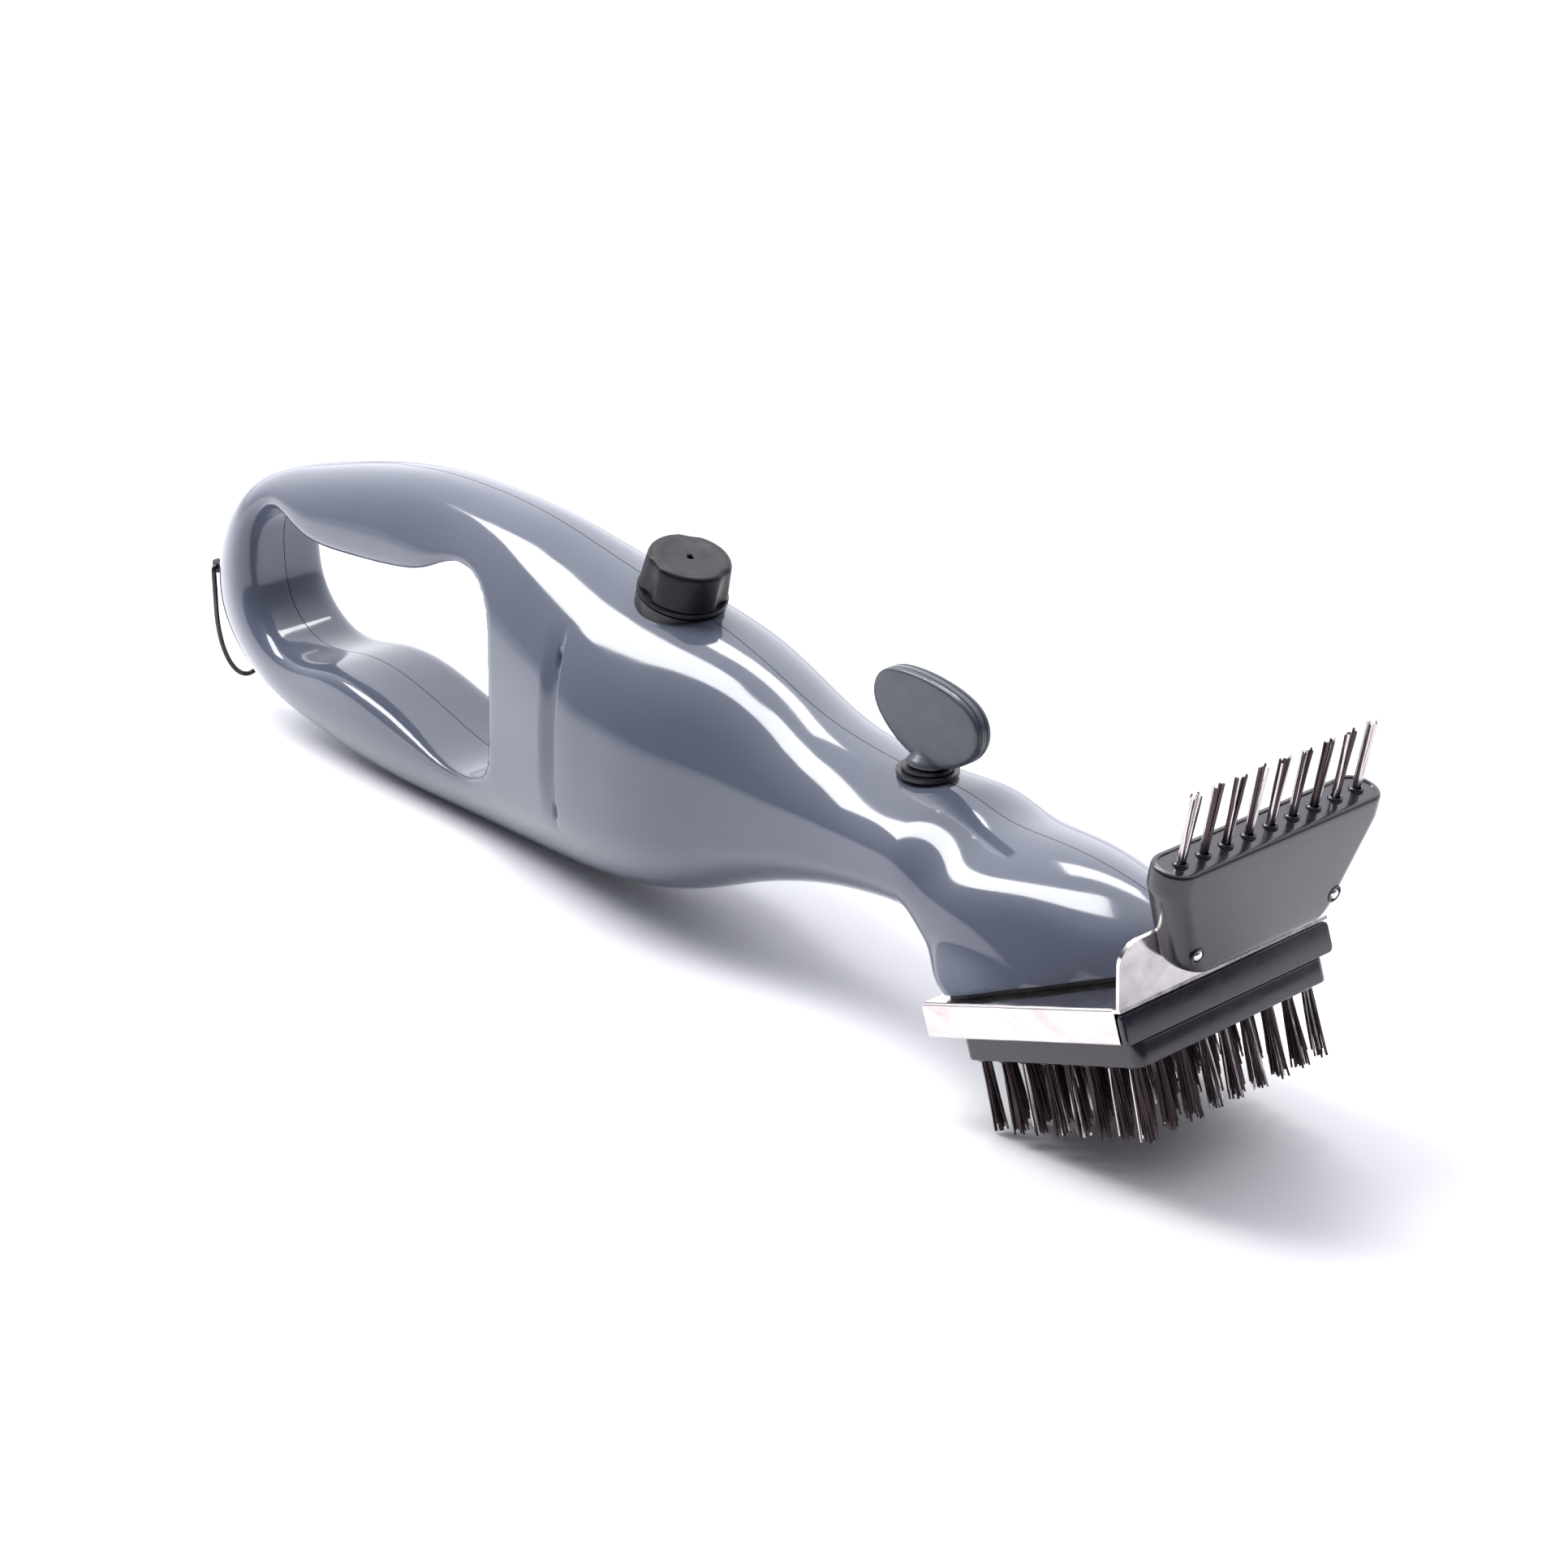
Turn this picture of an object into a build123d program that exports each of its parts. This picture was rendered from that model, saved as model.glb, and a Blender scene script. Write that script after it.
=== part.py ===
"""Grill cleaning brush with a water tank in its handle.

The handle is two glossy moulded halves joined along the middle. It holds water, which runs
through a hand valve in the neck on to a hot steel plate. A wide brush slides in under the plate
and a narrow brush sits on the plate's upturned front tab.

Millimetres. +X runs from the hanging loop to the head, +Z is up and the brush rests on z = 0,
on the lower grip and the rear bristles. The origin is under the middle of the bounding box.
"""
from build123d import *
from math import cos, radians, sin
import os

os.makedirs("parts", exist_ok=True)

# ---------------------------------------------------------------- driving dimensions
WALL = 2.6                     # moulded wall of the handle
HOLE_WALL = 4.0                # wall round the grip hole, thicker for its rounded rim
TANK_REAR_X = -194.6           # behind here the handle is solid

# Handle stations: x, underside z, top z, half width, squareness of the section
STATIONS = (
    (-211.6, 32.0, 51.0, 4.5, 2.0),
    (-208.6, 24.5, 58.5, 8.3, 2.1),
    (-202.1, 18.5, 67.0, 12.5, 2.2),
    (-189.1, 12.0, 78.0, 16.5, 2.5),
    (-160.6, 5.0, 89.0, 19.0, 2.7),
    (-128.6, 0.9, 96.8, 20.0, 2.7),
    (-102.6, 0.0, 100.7, 21.0, 2.6),
    (-78.6, 0.2, 101.5, 23.0, 2.4),
    (-54.6, 0.8, 100.0, 26.5, 2.25),
    (-26.6, 2.4, 95.0, 31.0, 2.15),
    (0.4, 6.2, 90.0, 33.5, 2.1),
    (19.4, 12.0, 86.0, 32.0, 2.1),
    (36.4, 19.3, 80.6, 28.0, 2.1),
    (54.4, 26.0, 74.0, 24.5, 2.1),
    (71.4, 30.8, 70.3, 23.0, 2.1),
    (88.9, 34.3, 68.6, 23.3, 2.1),
)

# Past the neck the sections fan out about a line across the handle, down to the plate
FAN_X = 106.5
FAN_Z = 22.6
# Fan stations: angle above +X, nearest and farthest reach, half width, share of the foot's shape
FAN_STATIONS = (
    (90.0, 13.4, 45.8, 24.8, 0.0),
    (65.0, 12.6, 46.6, 27.0, 0.15),
    (45.0, 15.1, 59.5, 30.0, 0.4),
    (30.0, 19.7, 76.5, 33.0, 0.75),
    (24.0, 23.0, 83.8, 34.2, 0.9),
    (19.1, 27.0, 87.0, 35.0, 1.0),
)
# Directions round a section from its top or front, and how far the foot reaches in each
SECTION_ANGLES = (0, 20, 45, 70, 95, 115, 131, 142, 160, 180)
FOOT_REACH = (1.0, 0.873, 0.735, 0.676, 0.765, 0.975, 1.305, 1.27, 1.065, 1.0)

# Grip hole outline in x, z, clockwise seen from the right-hand side
GRIP_HOLE = (
    (-184.6, 55), (-181.6, 68), (-172.6, 74), (-154.6, 71.5), (-128.6, 71.5), (-104.6, 74.5),
    (-89.6, 79), (-77.6, 84), (-66.6, 84), (-57.6, 77.5), (-52.6, 62), (-52.6, 44), (-58.1, 28.5),
    (-67.6, 22), (-80.6, 19.8), (-100.6, 24.3), (-116.6, 29), (-131.6, 32), (-144.6, 32),
    (-156.6, 30), (-169.6, 30.5), (-180.6, 38),
)
GRIP_EDGE_RADIUS = 5.0
HALF_SPAN = 60.0               # cuts and prisms reach this far either side of the middle plane

PLATE_TILT = 19.1              # front of the head rises while the brush rests
HEAD = Plane(
    origin=(193.1, 0, 51.2),
    x_dir=(cos(radians(PLATE_TILT)), 0, sin(radians(PLATE_TILT))),
    z_dir=(-sin(radians(PLATE_TILT)), 0, cos(radians(PLATE_TILT))),
)                              # middle of the steel plate's top front edge

PLATE_LENGTH = 65.7
PLATE_WIDTH = 74.8
SHEET = 1.0
FLANGE_DEPTH = 9.0
LIP = 3.8
TAB_LEAN = 30.0                # tab and small brush lean forward from the plate's normal
TAB_OFFSET = 1.7               # tab plane ahead of the plate's front edge
TAB_HEIGHT = 19.5
TAB_HALF_TOP = 42.5
FOOT_CLOSURE = 3.0             # thickness of the cover that shuts the tank above the plate

CAP_ORIGIN = (1.0, 0, 91.2)
CAP_LEAN = 17.0                # filler axis leans towards the head
CAP_RADIUS = 13.4
CAP_HEIGHT = 13.2
NECK_SEAT_RADIUS = 12.4
NECK_RADIUS = 8.5

VALVE_X = 94.9
PLUG_RADIUS = 5.0
STEM_RADIUS = 4.0
PORT_RADIUS = 3.0
PORT_Z = 50.0

BLOCK_LENGTH = 58.0
TUFT_PITCH_Y = 7.8
TUFT_PITCH_X = 7.2
TUFT_COUNT_Y = 9
TUFT_COUNT_X = 8
TUFT_ROOT_RADIUS = 1.2
TUFT_TIP_RADIUS = 1.9
SMALL_TUFT_LENGTH = 19.0

PIVOT_X = -208.0
PIVOT_Z = 46.0
WIRE_RADIUS = 0.8
LOOP_HALF_WIDTH = 10.7
LOOP_LENGTH = 38.5


# ---------------------------------------------------------------- handle body
def section_points(half_width, low, high, squareness, foot_share):
    """Closed outline as (across, along) points: a rounded oval blended with the foot's shape."""
    middle = (low + high) / 2
    reach = (high - low) / 2
    side = []
    for angle, foot in zip(SECTION_ANGLES, FOOT_REACH):
        c = abs(cos(radians(angle)))
        s = abs(sin(radians(angle)))
        oval = (c**squareness + s**squareness) ** (-1 / squareness)
        radius = (1 - foot_share) * oval + foot_share * foot
        across = half_width * sin(radians(angle)) * radius
        along = middle + reach * cos(radians(angle)) * radius
        side.append((across, along))
    mirrored = [(-across, along) for across, along in side[-2:0:-1]]
    return side + mirrored


def handle_body(inset=0.0, rear_x=STATIONS[0][0]):
    """The handle's outer form, or the same form drawn in by a wall's thickness."""
    with BuildPart() as body:
        for x, low, high, half_width, squareness in STATIONS:
            if x < rear_x:
                continue
            plane = Plane(origin=(x, 0, 0), x_dir=(0, 1, 0), z_dir=(1, 0, 0))
            outline = section_points(half_width - inset, low + inset, high - inset, squareness, 0)
            with BuildSketch(plane):
                with BuildLine():
                    Spline(*outline, periodic=True)
                make_face()
        for angle, near, far, half_width, share in FAN_STATIONS:
            normal = (sin(radians(angle)), 0, -cos(radians(angle)))
            plane = Plane(origin=(FAN_X, 0, FAN_Z), x_dir=(0, 1, 0), z_dir=normal)
            outline = section_points(half_width - inset, near + inset, far - inset, 2.1, share)
            with BuildSketch(plane):
                with BuildLine():
                    Spline(*outline, periodic=True)
                make_face()
        loft()
    return body.part


def grip_outline(growth):
    """The grip hole's outline points, each moved outward by the growth."""
    outline = []
    for index, (x, z) in enumerate(GRIP_HOLE):
        before_x, before_z = GRIP_HOLE[index - 1]
        after_x, after_z = GRIP_HOLE[(index + 1) % len(GRIP_HOLE)]
        outward = Vector(before_z - after_z, after_x - before_x).normalized() * growth
        outline.append((x + outward.X, z + outward.Y))
    return outline


def grip_hole(growth=0.0):
    """Prism through the grip hole, optionally grown outward."""
    with BuildPart() as prism:
        with BuildSketch(Plane.XZ):
            with BuildLine():
                Spline(*grip_outline(growth), periodic=True)
            make_face()
        extrude(amount=HALF_SPAN, both=True)
    return prism.part


def cavity():
    """The water space: the lower grip, the top bar, the belly and the neck, open to each other."""
    with BuildPart() as space:
        add(handle_body(WALL, TANK_REAR_X))
        add(grip_hole(HOLE_WALL), mode=Mode.SUBTRACT)
    return space.part


def filler_plane(height=0.0):
    """Plane square to the filler's axis, at a height above the neck's rim."""
    lean = radians(CAP_LEAN)
    rim = Plane(origin=CAP_ORIGIN, x_dir=(cos(lean), 0, -sin(lean)), z_dir=(sin(lean), 0, cos(lean)))
    return rim.offset(height)


def valve_plane(z):
    """Level plane on the valve's axis."""
    return Plane(origin=(VALVE_X, 0, z), x_dir=(1, 0, 0), z_dir=(0, 0, 1))


def eyelet_plane(side, out):
    """Plane facing inward along the loop's pivot, at a distance out from the middle plane."""
    return Plane(origin=(PIVOT_X, side * out, PIVOT_Z), x_dir=(1, 0, 0), z_dir=(0, -side, 0))


def finish(builder, name):
    """Label a finished piece and write it as one STEP file."""
    builder.part.label = name
    export_step(builder.part, f"parts/{name}.step")


# ---------------------------------------------------------------- head frame helpers
def head_plane(height):
    """Plane parallel to the steel plate: local x runs forward from the plate's front edge."""
    return HEAD.offset(height)


def head_point(forward, height):
    """World point on the middle plane from head coordinates."""
    return HEAD.from_local_coords(Vector(forward, 0, height))


TAB_DIRECTION = HEAD.x_dir * sin(radians(TAB_LEAN)) + HEAD.z_dir * cos(radians(TAB_LEAN))
TAB_NORMAL = HEAD.x_dir * cos(radians(TAB_LEAN)) - HEAD.z_dir * sin(radians(TAB_LEAN))


def tab_plane(ahead=0.0):
    """Plane of the upturned tab: local x across the head, local y up the tab."""
    origin = head_point(TAB_OFFSET, 0) + TAB_NORMAL * ahead
    return Plane(origin=origin, x_dir=(0, 1, 0), z_dir=TAB_NORMAL)


def across_tab(height):
    """Plane square to the tab: local x across the head, local y towards the back of the tab."""
    origin = head_point(TAB_OFFSET, 0) + TAB_DIRECTION * height
    return Plane(origin=origin, x_dir=(0, 1, 0), z_dir=TAB_DIRECTION)


SCREW_SITES = ((-50.0, -20.0), (-50.0, 20.0), (-26.0, -10.0), (-26.0, 10.0))
SCREW_RADIUS = 1.6
PILOT_RADIUS = 1.62
WATER_SITES = [(x, y) for x in (-44.0, -37.0, -30.0) for y in (-5.0, 5.0)]
WATER_RADIUS = 1.2
NOZZLE_X = -37.0
TUBE_RADIUS = 3.6
TUBE_BORE = 2.4


# ---------------------------------------------------------------- handle shells
SHELL_EYELET = 2.25            # bore for each loop eyelet
EYELET_DEPTH = 5.0
EYELET_FACE = 9.6              # outer face of each eyelet, from the middle plane
COLLAR_SPIGOT = 6.1
PRESS_GAP = 0.1                # around pieces bonded into the handle

FILLER_CUT_DEPTH = 14.0
VALVE_CUT_Z = 60.0
CUT_LENGTH = 24.0              # long enough to pass out through the top of the handle
HALF_WIDTH_MIN = 5.0
HOLE_RIM_MIN = 300.0           # the hole's two rims are the only long edges off the middle plane

with BuildPart() as solid_handle:
    add(handle_body())
    add(grip_hole(), mode=Mode.SUBTRACT)
    off_middle = solid_handle.edges().filter_by(
        lambda edge: abs(edge.bounding_box().center().Y) > HALF_WIDTH_MIN
    )
    rims = off_middle.filter_by(lambda edge: edge.length > HOLE_RIM_MIN)
    fillet(rims.filter_by(lambda edge: edge.bounding_box().max.X < FAN_X), GRIP_EDGE_RADIUS)

tank = cavity()


def handle_half(kept):
    """One moulded half of the handle, cut through for the filler, the valve and the loop."""
    with BuildPart() as half_tank:
        add(tank)
        split(bisect_by=Plane.XZ, keep=kept)
    with BuildPart() as half:
        add(solid_handle.part)
        split(bisect_by=Plane.XZ, keep=kept)
        add(half_tank.part, mode=Mode.SUBTRACT)
        with BuildSketch(filler_plane(-FILLER_CUT_DEPTH)):
            Circle(NECK_SEAT_RADIUS + PRESS_GAP)
        extrude(amount=CUT_LENGTH, mode=Mode.SUBTRACT)
        with BuildSketch(valve_plane(VALVE_CUT_Z)):
            Circle(COLLAR_SPIGOT + PRESS_GAP)
        extrude(amount=CUT_LENGTH, mode=Mode.SUBTRACT)
        for side in (-1, 1):
            with BuildSketch(eyelet_plane(side, EYELET_FACE + EYELET_DEPTH)):
                Circle(SHELL_EYELET)
            extrude(amount=2 * EYELET_DEPTH, mode=Mode.SUBTRACT)
    return half


handle_shell_right = handle_half(Keep.TOP)
finish(handle_shell_right, "handle_shell_right")

handle_shell_left = handle_half(Keep.BOTTOM)
finish(handle_shell_left, "handle_shell_left")


# ---------------------------------------------------------------- filler
NECK_DEPTH = 11.0              # from the neck's rim seat down to its inner end
NECK_RING = 2.6                # inner ring's width and height outside the seat
NECK_RING_HEIGHT = 2.0
NECK_RIM = 7.5                 # threaded neck above the cap's underside
NECK_BORE = 6.6
THREAD_START = 1.2
THREAD_PITCH = 2.0
THREAD_TURNS = 3
THREAD_DEPTH = 0.45
THREAD_WIDTH = 0.8
CAP_GAP = 0.35                 # running gap between cap and seat
CAP_BORE = 9.2
CAP_ROOF = 2.4
CAP_RING = 2.0                 # plain ring under the scallops
CAP_RING_STEP = 0.5
CAP_TAPER = 4.0
CAP_TOP_RADIUS = 1.4
SCALLOPS = 3
SCALLOP_RADIUS = 8.4
SCALLOP_REACH = 6.0            # scallop centres outside the cap's edge
SCALLOP_START = -100.0
VENT_RADIUS = 0.9
CAP_CEILING = CAP_GAP + CAP_HEIGHT - CAP_ROOF
SEAL_GAP = 0.05
VENT_DISC_RADIUS = 4.6
VENT_DISC_HEIGHT = 1.2
VENT_BILL_RADIUS = 2.2
VENT_BILL_HEIGHT = 3.0
VENT_BILL_TAPER = 18.0
VENT_SLIT_RADIUS = 0.5

with BuildPart() as filler_neck:
    with BuildSketch(filler_plane(-NECK_DEPTH)):
        Circle(NECK_SEAT_RADIUS)
    extrude(amount=NECK_DEPTH)
    with BuildSketch(filler_plane(-NECK_DEPTH)):
        Circle(NECK_SEAT_RADIUS + NECK_RING)
    extrude(amount=NECK_RING_HEIGHT)
    with BuildSketch(filler_plane()):
        Circle(NECK_RADIUS)
    extrude(amount=NECK_RIM)
    for turn in range(THREAD_TURNS):
        with BuildSketch(filler_plane(THREAD_START + THREAD_PITCH * turn)):
            Circle(NECK_RADIUS + THREAD_DEPTH)
        extrude(amount=THREAD_WIDTH)
    with BuildSketch(filler_plane(-NECK_DEPTH)):
        Circle(NECK_BORE)
    extrude(amount=NECK_DEPTH + NECK_RIM, mode=Mode.SUBTRACT)
finish(filler_neck, "filler_neck")

with BuildPart() as fill_cap:
    with BuildSketch(filler_plane(CAP_GAP)):
        Circle(CAP_RADIUS)
    extrude(amount=CAP_RING)
    with BuildSketch(filler_plane(CAP_GAP + CAP_RING)):
        Circle(CAP_RADIUS - CAP_RING_STEP)
    extrude(amount=CAP_HEIGHT - CAP_RING, taper=CAP_TAPER)
    round_edges = fill_cap.edges().filter_by(GeomType.CIRCLE)
    fillet(round_edges.sort_by(Axis(CAP_ORIGIN, filler_plane().z_dir))[-1], CAP_TOP_RADIUS)
    with BuildSketch(filler_plane(CAP_GAP + CAP_RING)):
        with PolarLocations(CAP_RADIUS + SCALLOP_REACH, SCALLOPS, start_angle=SCALLOP_START):
            Circle(SCALLOP_RADIUS)
    extrude(amount=CAP_HEIGHT, mode=Mode.SUBTRACT)
    with BuildSketch(filler_plane(CAP_GAP)):
        Circle(CAP_BORE)
    extrude(amount=CAP_CEILING - CAP_GAP, mode=Mode.SUBTRACT)
    with BuildSketch(filler_plane(CAP_CEILING)):
        Circle(VENT_RADIUS)
    extrude(amount=CAP_ROOF, mode=Mode.SUBTRACT)
finish(fill_cap, "fill_cap")

with BuildPart() as cap_gasket:
    with BuildSketch(filler_plane(NECK_RIM + SEAL_GAP)):
        Circle(CAP_BORE - SEAL_GAP)
        Circle(NECK_BORE, mode=Mode.SUBTRACT)
    extrude(amount=CAP_CEILING - NECK_RIM - 2 * SEAL_GAP)
finish(cap_gasket, "cap_gasket")

with BuildPart() as cap_vent_valve:
    with BuildSketch(filler_plane(CAP_CEILING - SEAL_GAP)):
        Circle(VENT_DISC_RADIUS)
    extrude(amount=-VENT_DISC_HEIGHT)
    with BuildSketch(filler_plane(CAP_CEILING - SEAL_GAP - VENT_DISC_HEIGHT)):
        Circle(VENT_BILL_RADIUS)
    extrude(amount=-VENT_BILL_HEIGHT, taper=VENT_BILL_TAPER)
    with BuildSketch(filler_plane()):
        Circle(VENT_SLIT_RADIUS)
    extrude(amount=CAP_HEIGHT, mode=Mode.SUBTRACT)
finish(cap_vent_valve, "cap_vent_valve")


# ---------------------------------------------------------------- hand valve
VALVE_BODY_LENGTH = 20.0
PLUG_TOP = 61.4
PLUG_BOTTOM = 42.4
PLUG_GAP = 0.06                # running fit of the plug and the stem
STEM_SHOULDER = 74.0           # round stem below here, flat blade above
BLADE = (6.0, 2.4, 8.0)        # blade's width, thickness and height
GROOVES = (55.0, 58.2)
GROOVE_WIDTH = 1.6
GROOVE_DEPTH = 1.1
RING_WIDTH = 1.4
RING_DEPTH = 1.0
RING_ROUND = 0.4
COLLAR_NECK_TOP = 68.0
LOWER_RING = (69.1, 1.0, 8.2)  # each collar ring's underside, height and radius
UPPER_RING = (70.4, 0.8, 6.8)
KNOB_BASE = 71.5
KNOB_THICKNESS = 5.4
KNOB_EDGE = 0.9
KNOB_HUB_RADIUS = 5.4
KNOB_HUB_HEIGHT = 5.0
# Rounded corners of the paddle: distance along from the valve's axis, height, radius
KNOB_CORNERS = ((-10.7, 87.6, 7.4), (11.9, 84.4, 8.2), (1.5, 77.8, 5.6))


def port_plane(along=0.0):
    """Upright plane across the valve at the height of its water passage."""
    return Plane(origin=(VALVE_X + along, 0, PORT_Z), x_dir=(0, 1, 0), z_dir=(1, 0, 0))


with BuildPart() as valve_body:
    with BuildSketch(port_plane()):
        Rectangle(HALF_SPAN, HALF_SPAN)
    extrude(amount=VALVE_BODY_LENGTH / 2, both=True)
    add(tank, mode=Mode.INTERSECT)
    with BuildSketch(valve_plane(PLUG_BOTTOM - SEAL_GAP)):
        Circle(PLUG_RADIUS + PLUG_GAP)
    extrude(amount=HALF_SPAN, mode=Mode.SUBTRACT)
    with BuildSketch(valve_plane(PLUG_TOP + SEAL_GAP)):
        Circle(COLLAR_SPIGOT + PRESS_GAP)
    extrude(amount=CUT_LENGTH, mode=Mode.SUBTRACT)
    with BuildSketch(port_plane()):
        Circle(PORT_RADIUS)
    extrude(amount=VALVE_BODY_LENGTH, both=True, mode=Mode.SUBTRACT)
finish(valve_body, "valve_body")

with BuildPart() as valve_stem:
    with BuildSketch(valve_plane(PLUG_BOTTOM)):
        Circle(PLUG_RADIUS)
    extrude(amount=PLUG_TOP - PLUG_BOTTOM)
    with BuildSketch(valve_plane(PLUG_TOP)):
        Circle(STEM_RADIUS)
    extrude(amount=STEM_SHOULDER - PLUG_TOP)
    with BuildSketch(valve_plane(STEM_SHOULDER)):
        Rectangle(BLADE[0], BLADE[1])
    extrude(amount=BLADE[2])
    for groove in GROOVES:
        with BuildSketch(valve_plane(groove)):
            Circle(2 * PLUG_RADIUS)
            Circle(PLUG_RADIUS - GROOVE_DEPTH, mode=Mode.SUBTRACT)
        extrude(amount=GROOVE_WIDTH, mode=Mode.SUBTRACT)
    with BuildSketch(Plane(origin=(VALVE_X, 0, PORT_Z), x_dir=(1, 0, 0), z_dir=(0, -1, 0))):
        Circle(PORT_RADIUS)
    extrude(amount=2 * PLUG_RADIUS, both=True, mode=Mode.SUBTRACT)
finish(valve_stem, "valve_stem")

with BuildPart() as stem_o_rings:
    for groove in GROOVES:
        with BuildSketch(valve_plane(groove + (GROOVE_WIDTH - RING_WIDTH) / 2)):
            Circle(PLUG_RADIUS)
            Circle(PLUG_RADIUS - RING_DEPTH, mode=Mode.SUBTRACT)
        extrude(amount=RING_WIDTH)
    fillet(stem_o_rings.edges().filter_by(GeomType.CIRCLE), RING_ROUND)
finish(stem_o_rings, "stem_o_rings")

with BuildPart() as valve_collar:
    collar_bottom = PLUG_TOP + 2 * PRESS_GAP
    with BuildSketch(valve_plane(collar_bottom)):
        Circle(COLLAR_SPIGOT)
    extrude(amount=UPPER_RING[0] - collar_bottom)
    for underside, height, radius in (LOWER_RING, UPPER_RING):
        with BuildSketch(valve_plane(underside)):
            Circle(radius)
        extrude(amount=height)
    with BuildSketch(valve_plane(PLUG_TOP)):
        Circle(STEM_RADIUS + PLUG_GAP)
    extrude(amount=CUT_LENGTH, mode=Mode.SUBTRACT)
finish(valve_collar, "valve_collar")

with BuildPart() as valve_knob:
    with BuildSketch(Plane.XZ):
        for along, height, radius in KNOB_CORNERS:
            with Locations((VALVE_X + along, height)):
                Circle(radius)
        make_hull()
    extrude(amount=KNOB_THICKNESS / 2, both=True)
    fillet(valve_knob.edges().filter_by(lambda edge: abs(edge.center().Y) > 1), KNOB_EDGE)
    with BuildSketch(valve_plane(KNOB_BASE)):
        Circle(KNOB_HUB_RADIUS)
    extrude(amount=KNOB_HUB_HEIGHT)
    with BuildSketch(valve_plane(KNOB_BASE)):
        Circle(STEM_RADIUS + SEAL_GAP)
    extrude(amount=STEM_SHOULDER + SEAL_GAP - KNOB_BASE, mode=Mode.SUBTRACT)
    with BuildSketch(valve_plane(STEM_SHOULDER)):
        Rectangle(BLADE[0] + PRESS_GAP, BLADE[1] + PRESS_GAP)
    extrude(amount=BLADE[2] + PRESS_GAP, mode=Mode.SUBTRACT)
finish(valve_knob, "valve_knob")


# ---------------------------------------------------------------- head: closure, gasket, plate
def foot_outline(inset):
    """Outline of the handle's foot, drawn in a little, in head coordinates: forward, across."""
    near, far, half_width = FAN_STATIONS[-1][1:4]
    pivot = HEAD.to_local_coords(Vector(FAN_X, 0, FAN_Z))
    outline = section_points(half_width - inset, near + inset, far - inset, 2.1, 1.0)
    return [(pivot.X + along, across) for across, along in outline]


FOOT_HEIGHT = HEAD.to_local_coords(Vector(FAN_X, 0, FAN_Z)).Z
CLOSURE_TOP = FOOT_HEIGHT + FOOT_CLOSURE
BOSS_RADIUS = 3.6
BOSS_HEIGHT = 5.0
PILOT_DEPTH = 6.5
NOZZLE_WALL = 1.6
NOZZLE_HEIGHT = 3.0
MANIFOLD = (18.0, 14.0, 1.2)   # shallow pocket that feeds all the plate's water holes
TUBE_DROP = 8.0                # straight end of the tube above the closure
TUBE_LEVEL = 22.0              # straight run out of the valve
TUBE_BEND = 6.0
GASKET_INSET = 1.0
SKIN = 0.02                    # separation between faces that are clamped together

with BuildPart() as head_closure:
    with BuildSketch(head_plane(FOOT_HEIGHT)):
        with Locations((-PLATE_LENGTH / 2, 0)):
            Rectangle(2 * PLATE_LENGTH, 2 * PLATE_WIDTH)
    extrude(amount=FOOT_CLOSURE)
    add(tank, mode=Mode.INTERSECT)
    with BuildSketch(head_plane(CLOSURE_TOP)):
        with Locations(*SCREW_SITES):
            Circle(BOSS_RADIUS)
    extrude(amount=BOSS_HEIGHT)
    with BuildSketch(head_plane(CLOSURE_TOP)):
        with Locations((NOZZLE_X, 0)):
            Circle(TUBE_RADIUS + NOZZLE_WALL)
    extrude(amount=NOZZLE_HEIGHT)
    with BuildSketch(head_plane(FOOT_HEIGHT)):
        with Locations(*SCREW_SITES):
            Circle(PILOT_RADIUS)
    extrude(amount=PILOT_DEPTH, mode=Mode.SUBTRACT)
    with BuildSketch(head_plane(CLOSURE_TOP)):
        with Locations((NOZZLE_X, 0)):
            Circle(TUBE_RADIUS + SEAL_GAP)
    extrude(amount=2 * NOZZLE_HEIGHT, mode=Mode.SUBTRACT)
    with BuildSketch(head_plane(FOOT_HEIGHT)):
        with Locations((NOZZLE_X, 0)):
            Rectangle(MANIFOLD[0], MANIFOLD[1])
    extrude(amount=MANIFOLD[2], mode=Mode.SUBTRACT)
    with BuildSketch(head_plane(FOOT_HEIGHT)):
        with Locations((NOZZLE_X, 0)):
            Circle(TUBE_BORE)
    extrude(amount=FOOT_CLOSURE, mode=Mode.SUBTRACT)
finish(head_closure, "head_closure")

with BuildPart() as head_gasket:
    with BuildSketch(head_plane(SKIN)):
        with BuildLine():
            Spline(*foot_outline(GASKET_INSET), periodic=True)
        make_face()
        with Locations(*SCREW_SITES):
            Circle(PILOT_RADIUS + PRESS_GAP, mode=Mode.SUBTRACT)
        with Locations((NOZZLE_X, 0)):
            Rectangle(MANIFOLD[0], MANIFOLD[1], mode=Mode.SUBTRACT)
    extrude(amount=FOOT_HEIGHT - 2 * SKIN)
finish(head_gasket, "head_gasket")

with BuildPart() as outlet_tube:
    end = head_point(NOZZLE_X, CLOSURE_TOP + SEAL_GAP)
    above = head_point(NOZZLE_X, CLOSURE_TOP + TUBE_DROP)
    start = Vector(VALVE_X + VALVE_BODY_LENGTH / 2 + SEAL_GAP, 0, PORT_Z)
    with BuildLine() as route:
        FilletPolyline(start, start + Vector(TUBE_LEVEL, 0, 0), above, end, radius=TUBE_BEND)
    with BuildSketch(Plane(origin=start, x_dir=(0, 1, 0), z_dir=(1, 0, 0))):
        Circle(TUBE_RADIUS)
        Circle(TUBE_BORE, mode=Mode.SUBTRACT)
    sweep(path=route.line)
finish(outlet_tube, "outlet_tube")

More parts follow.
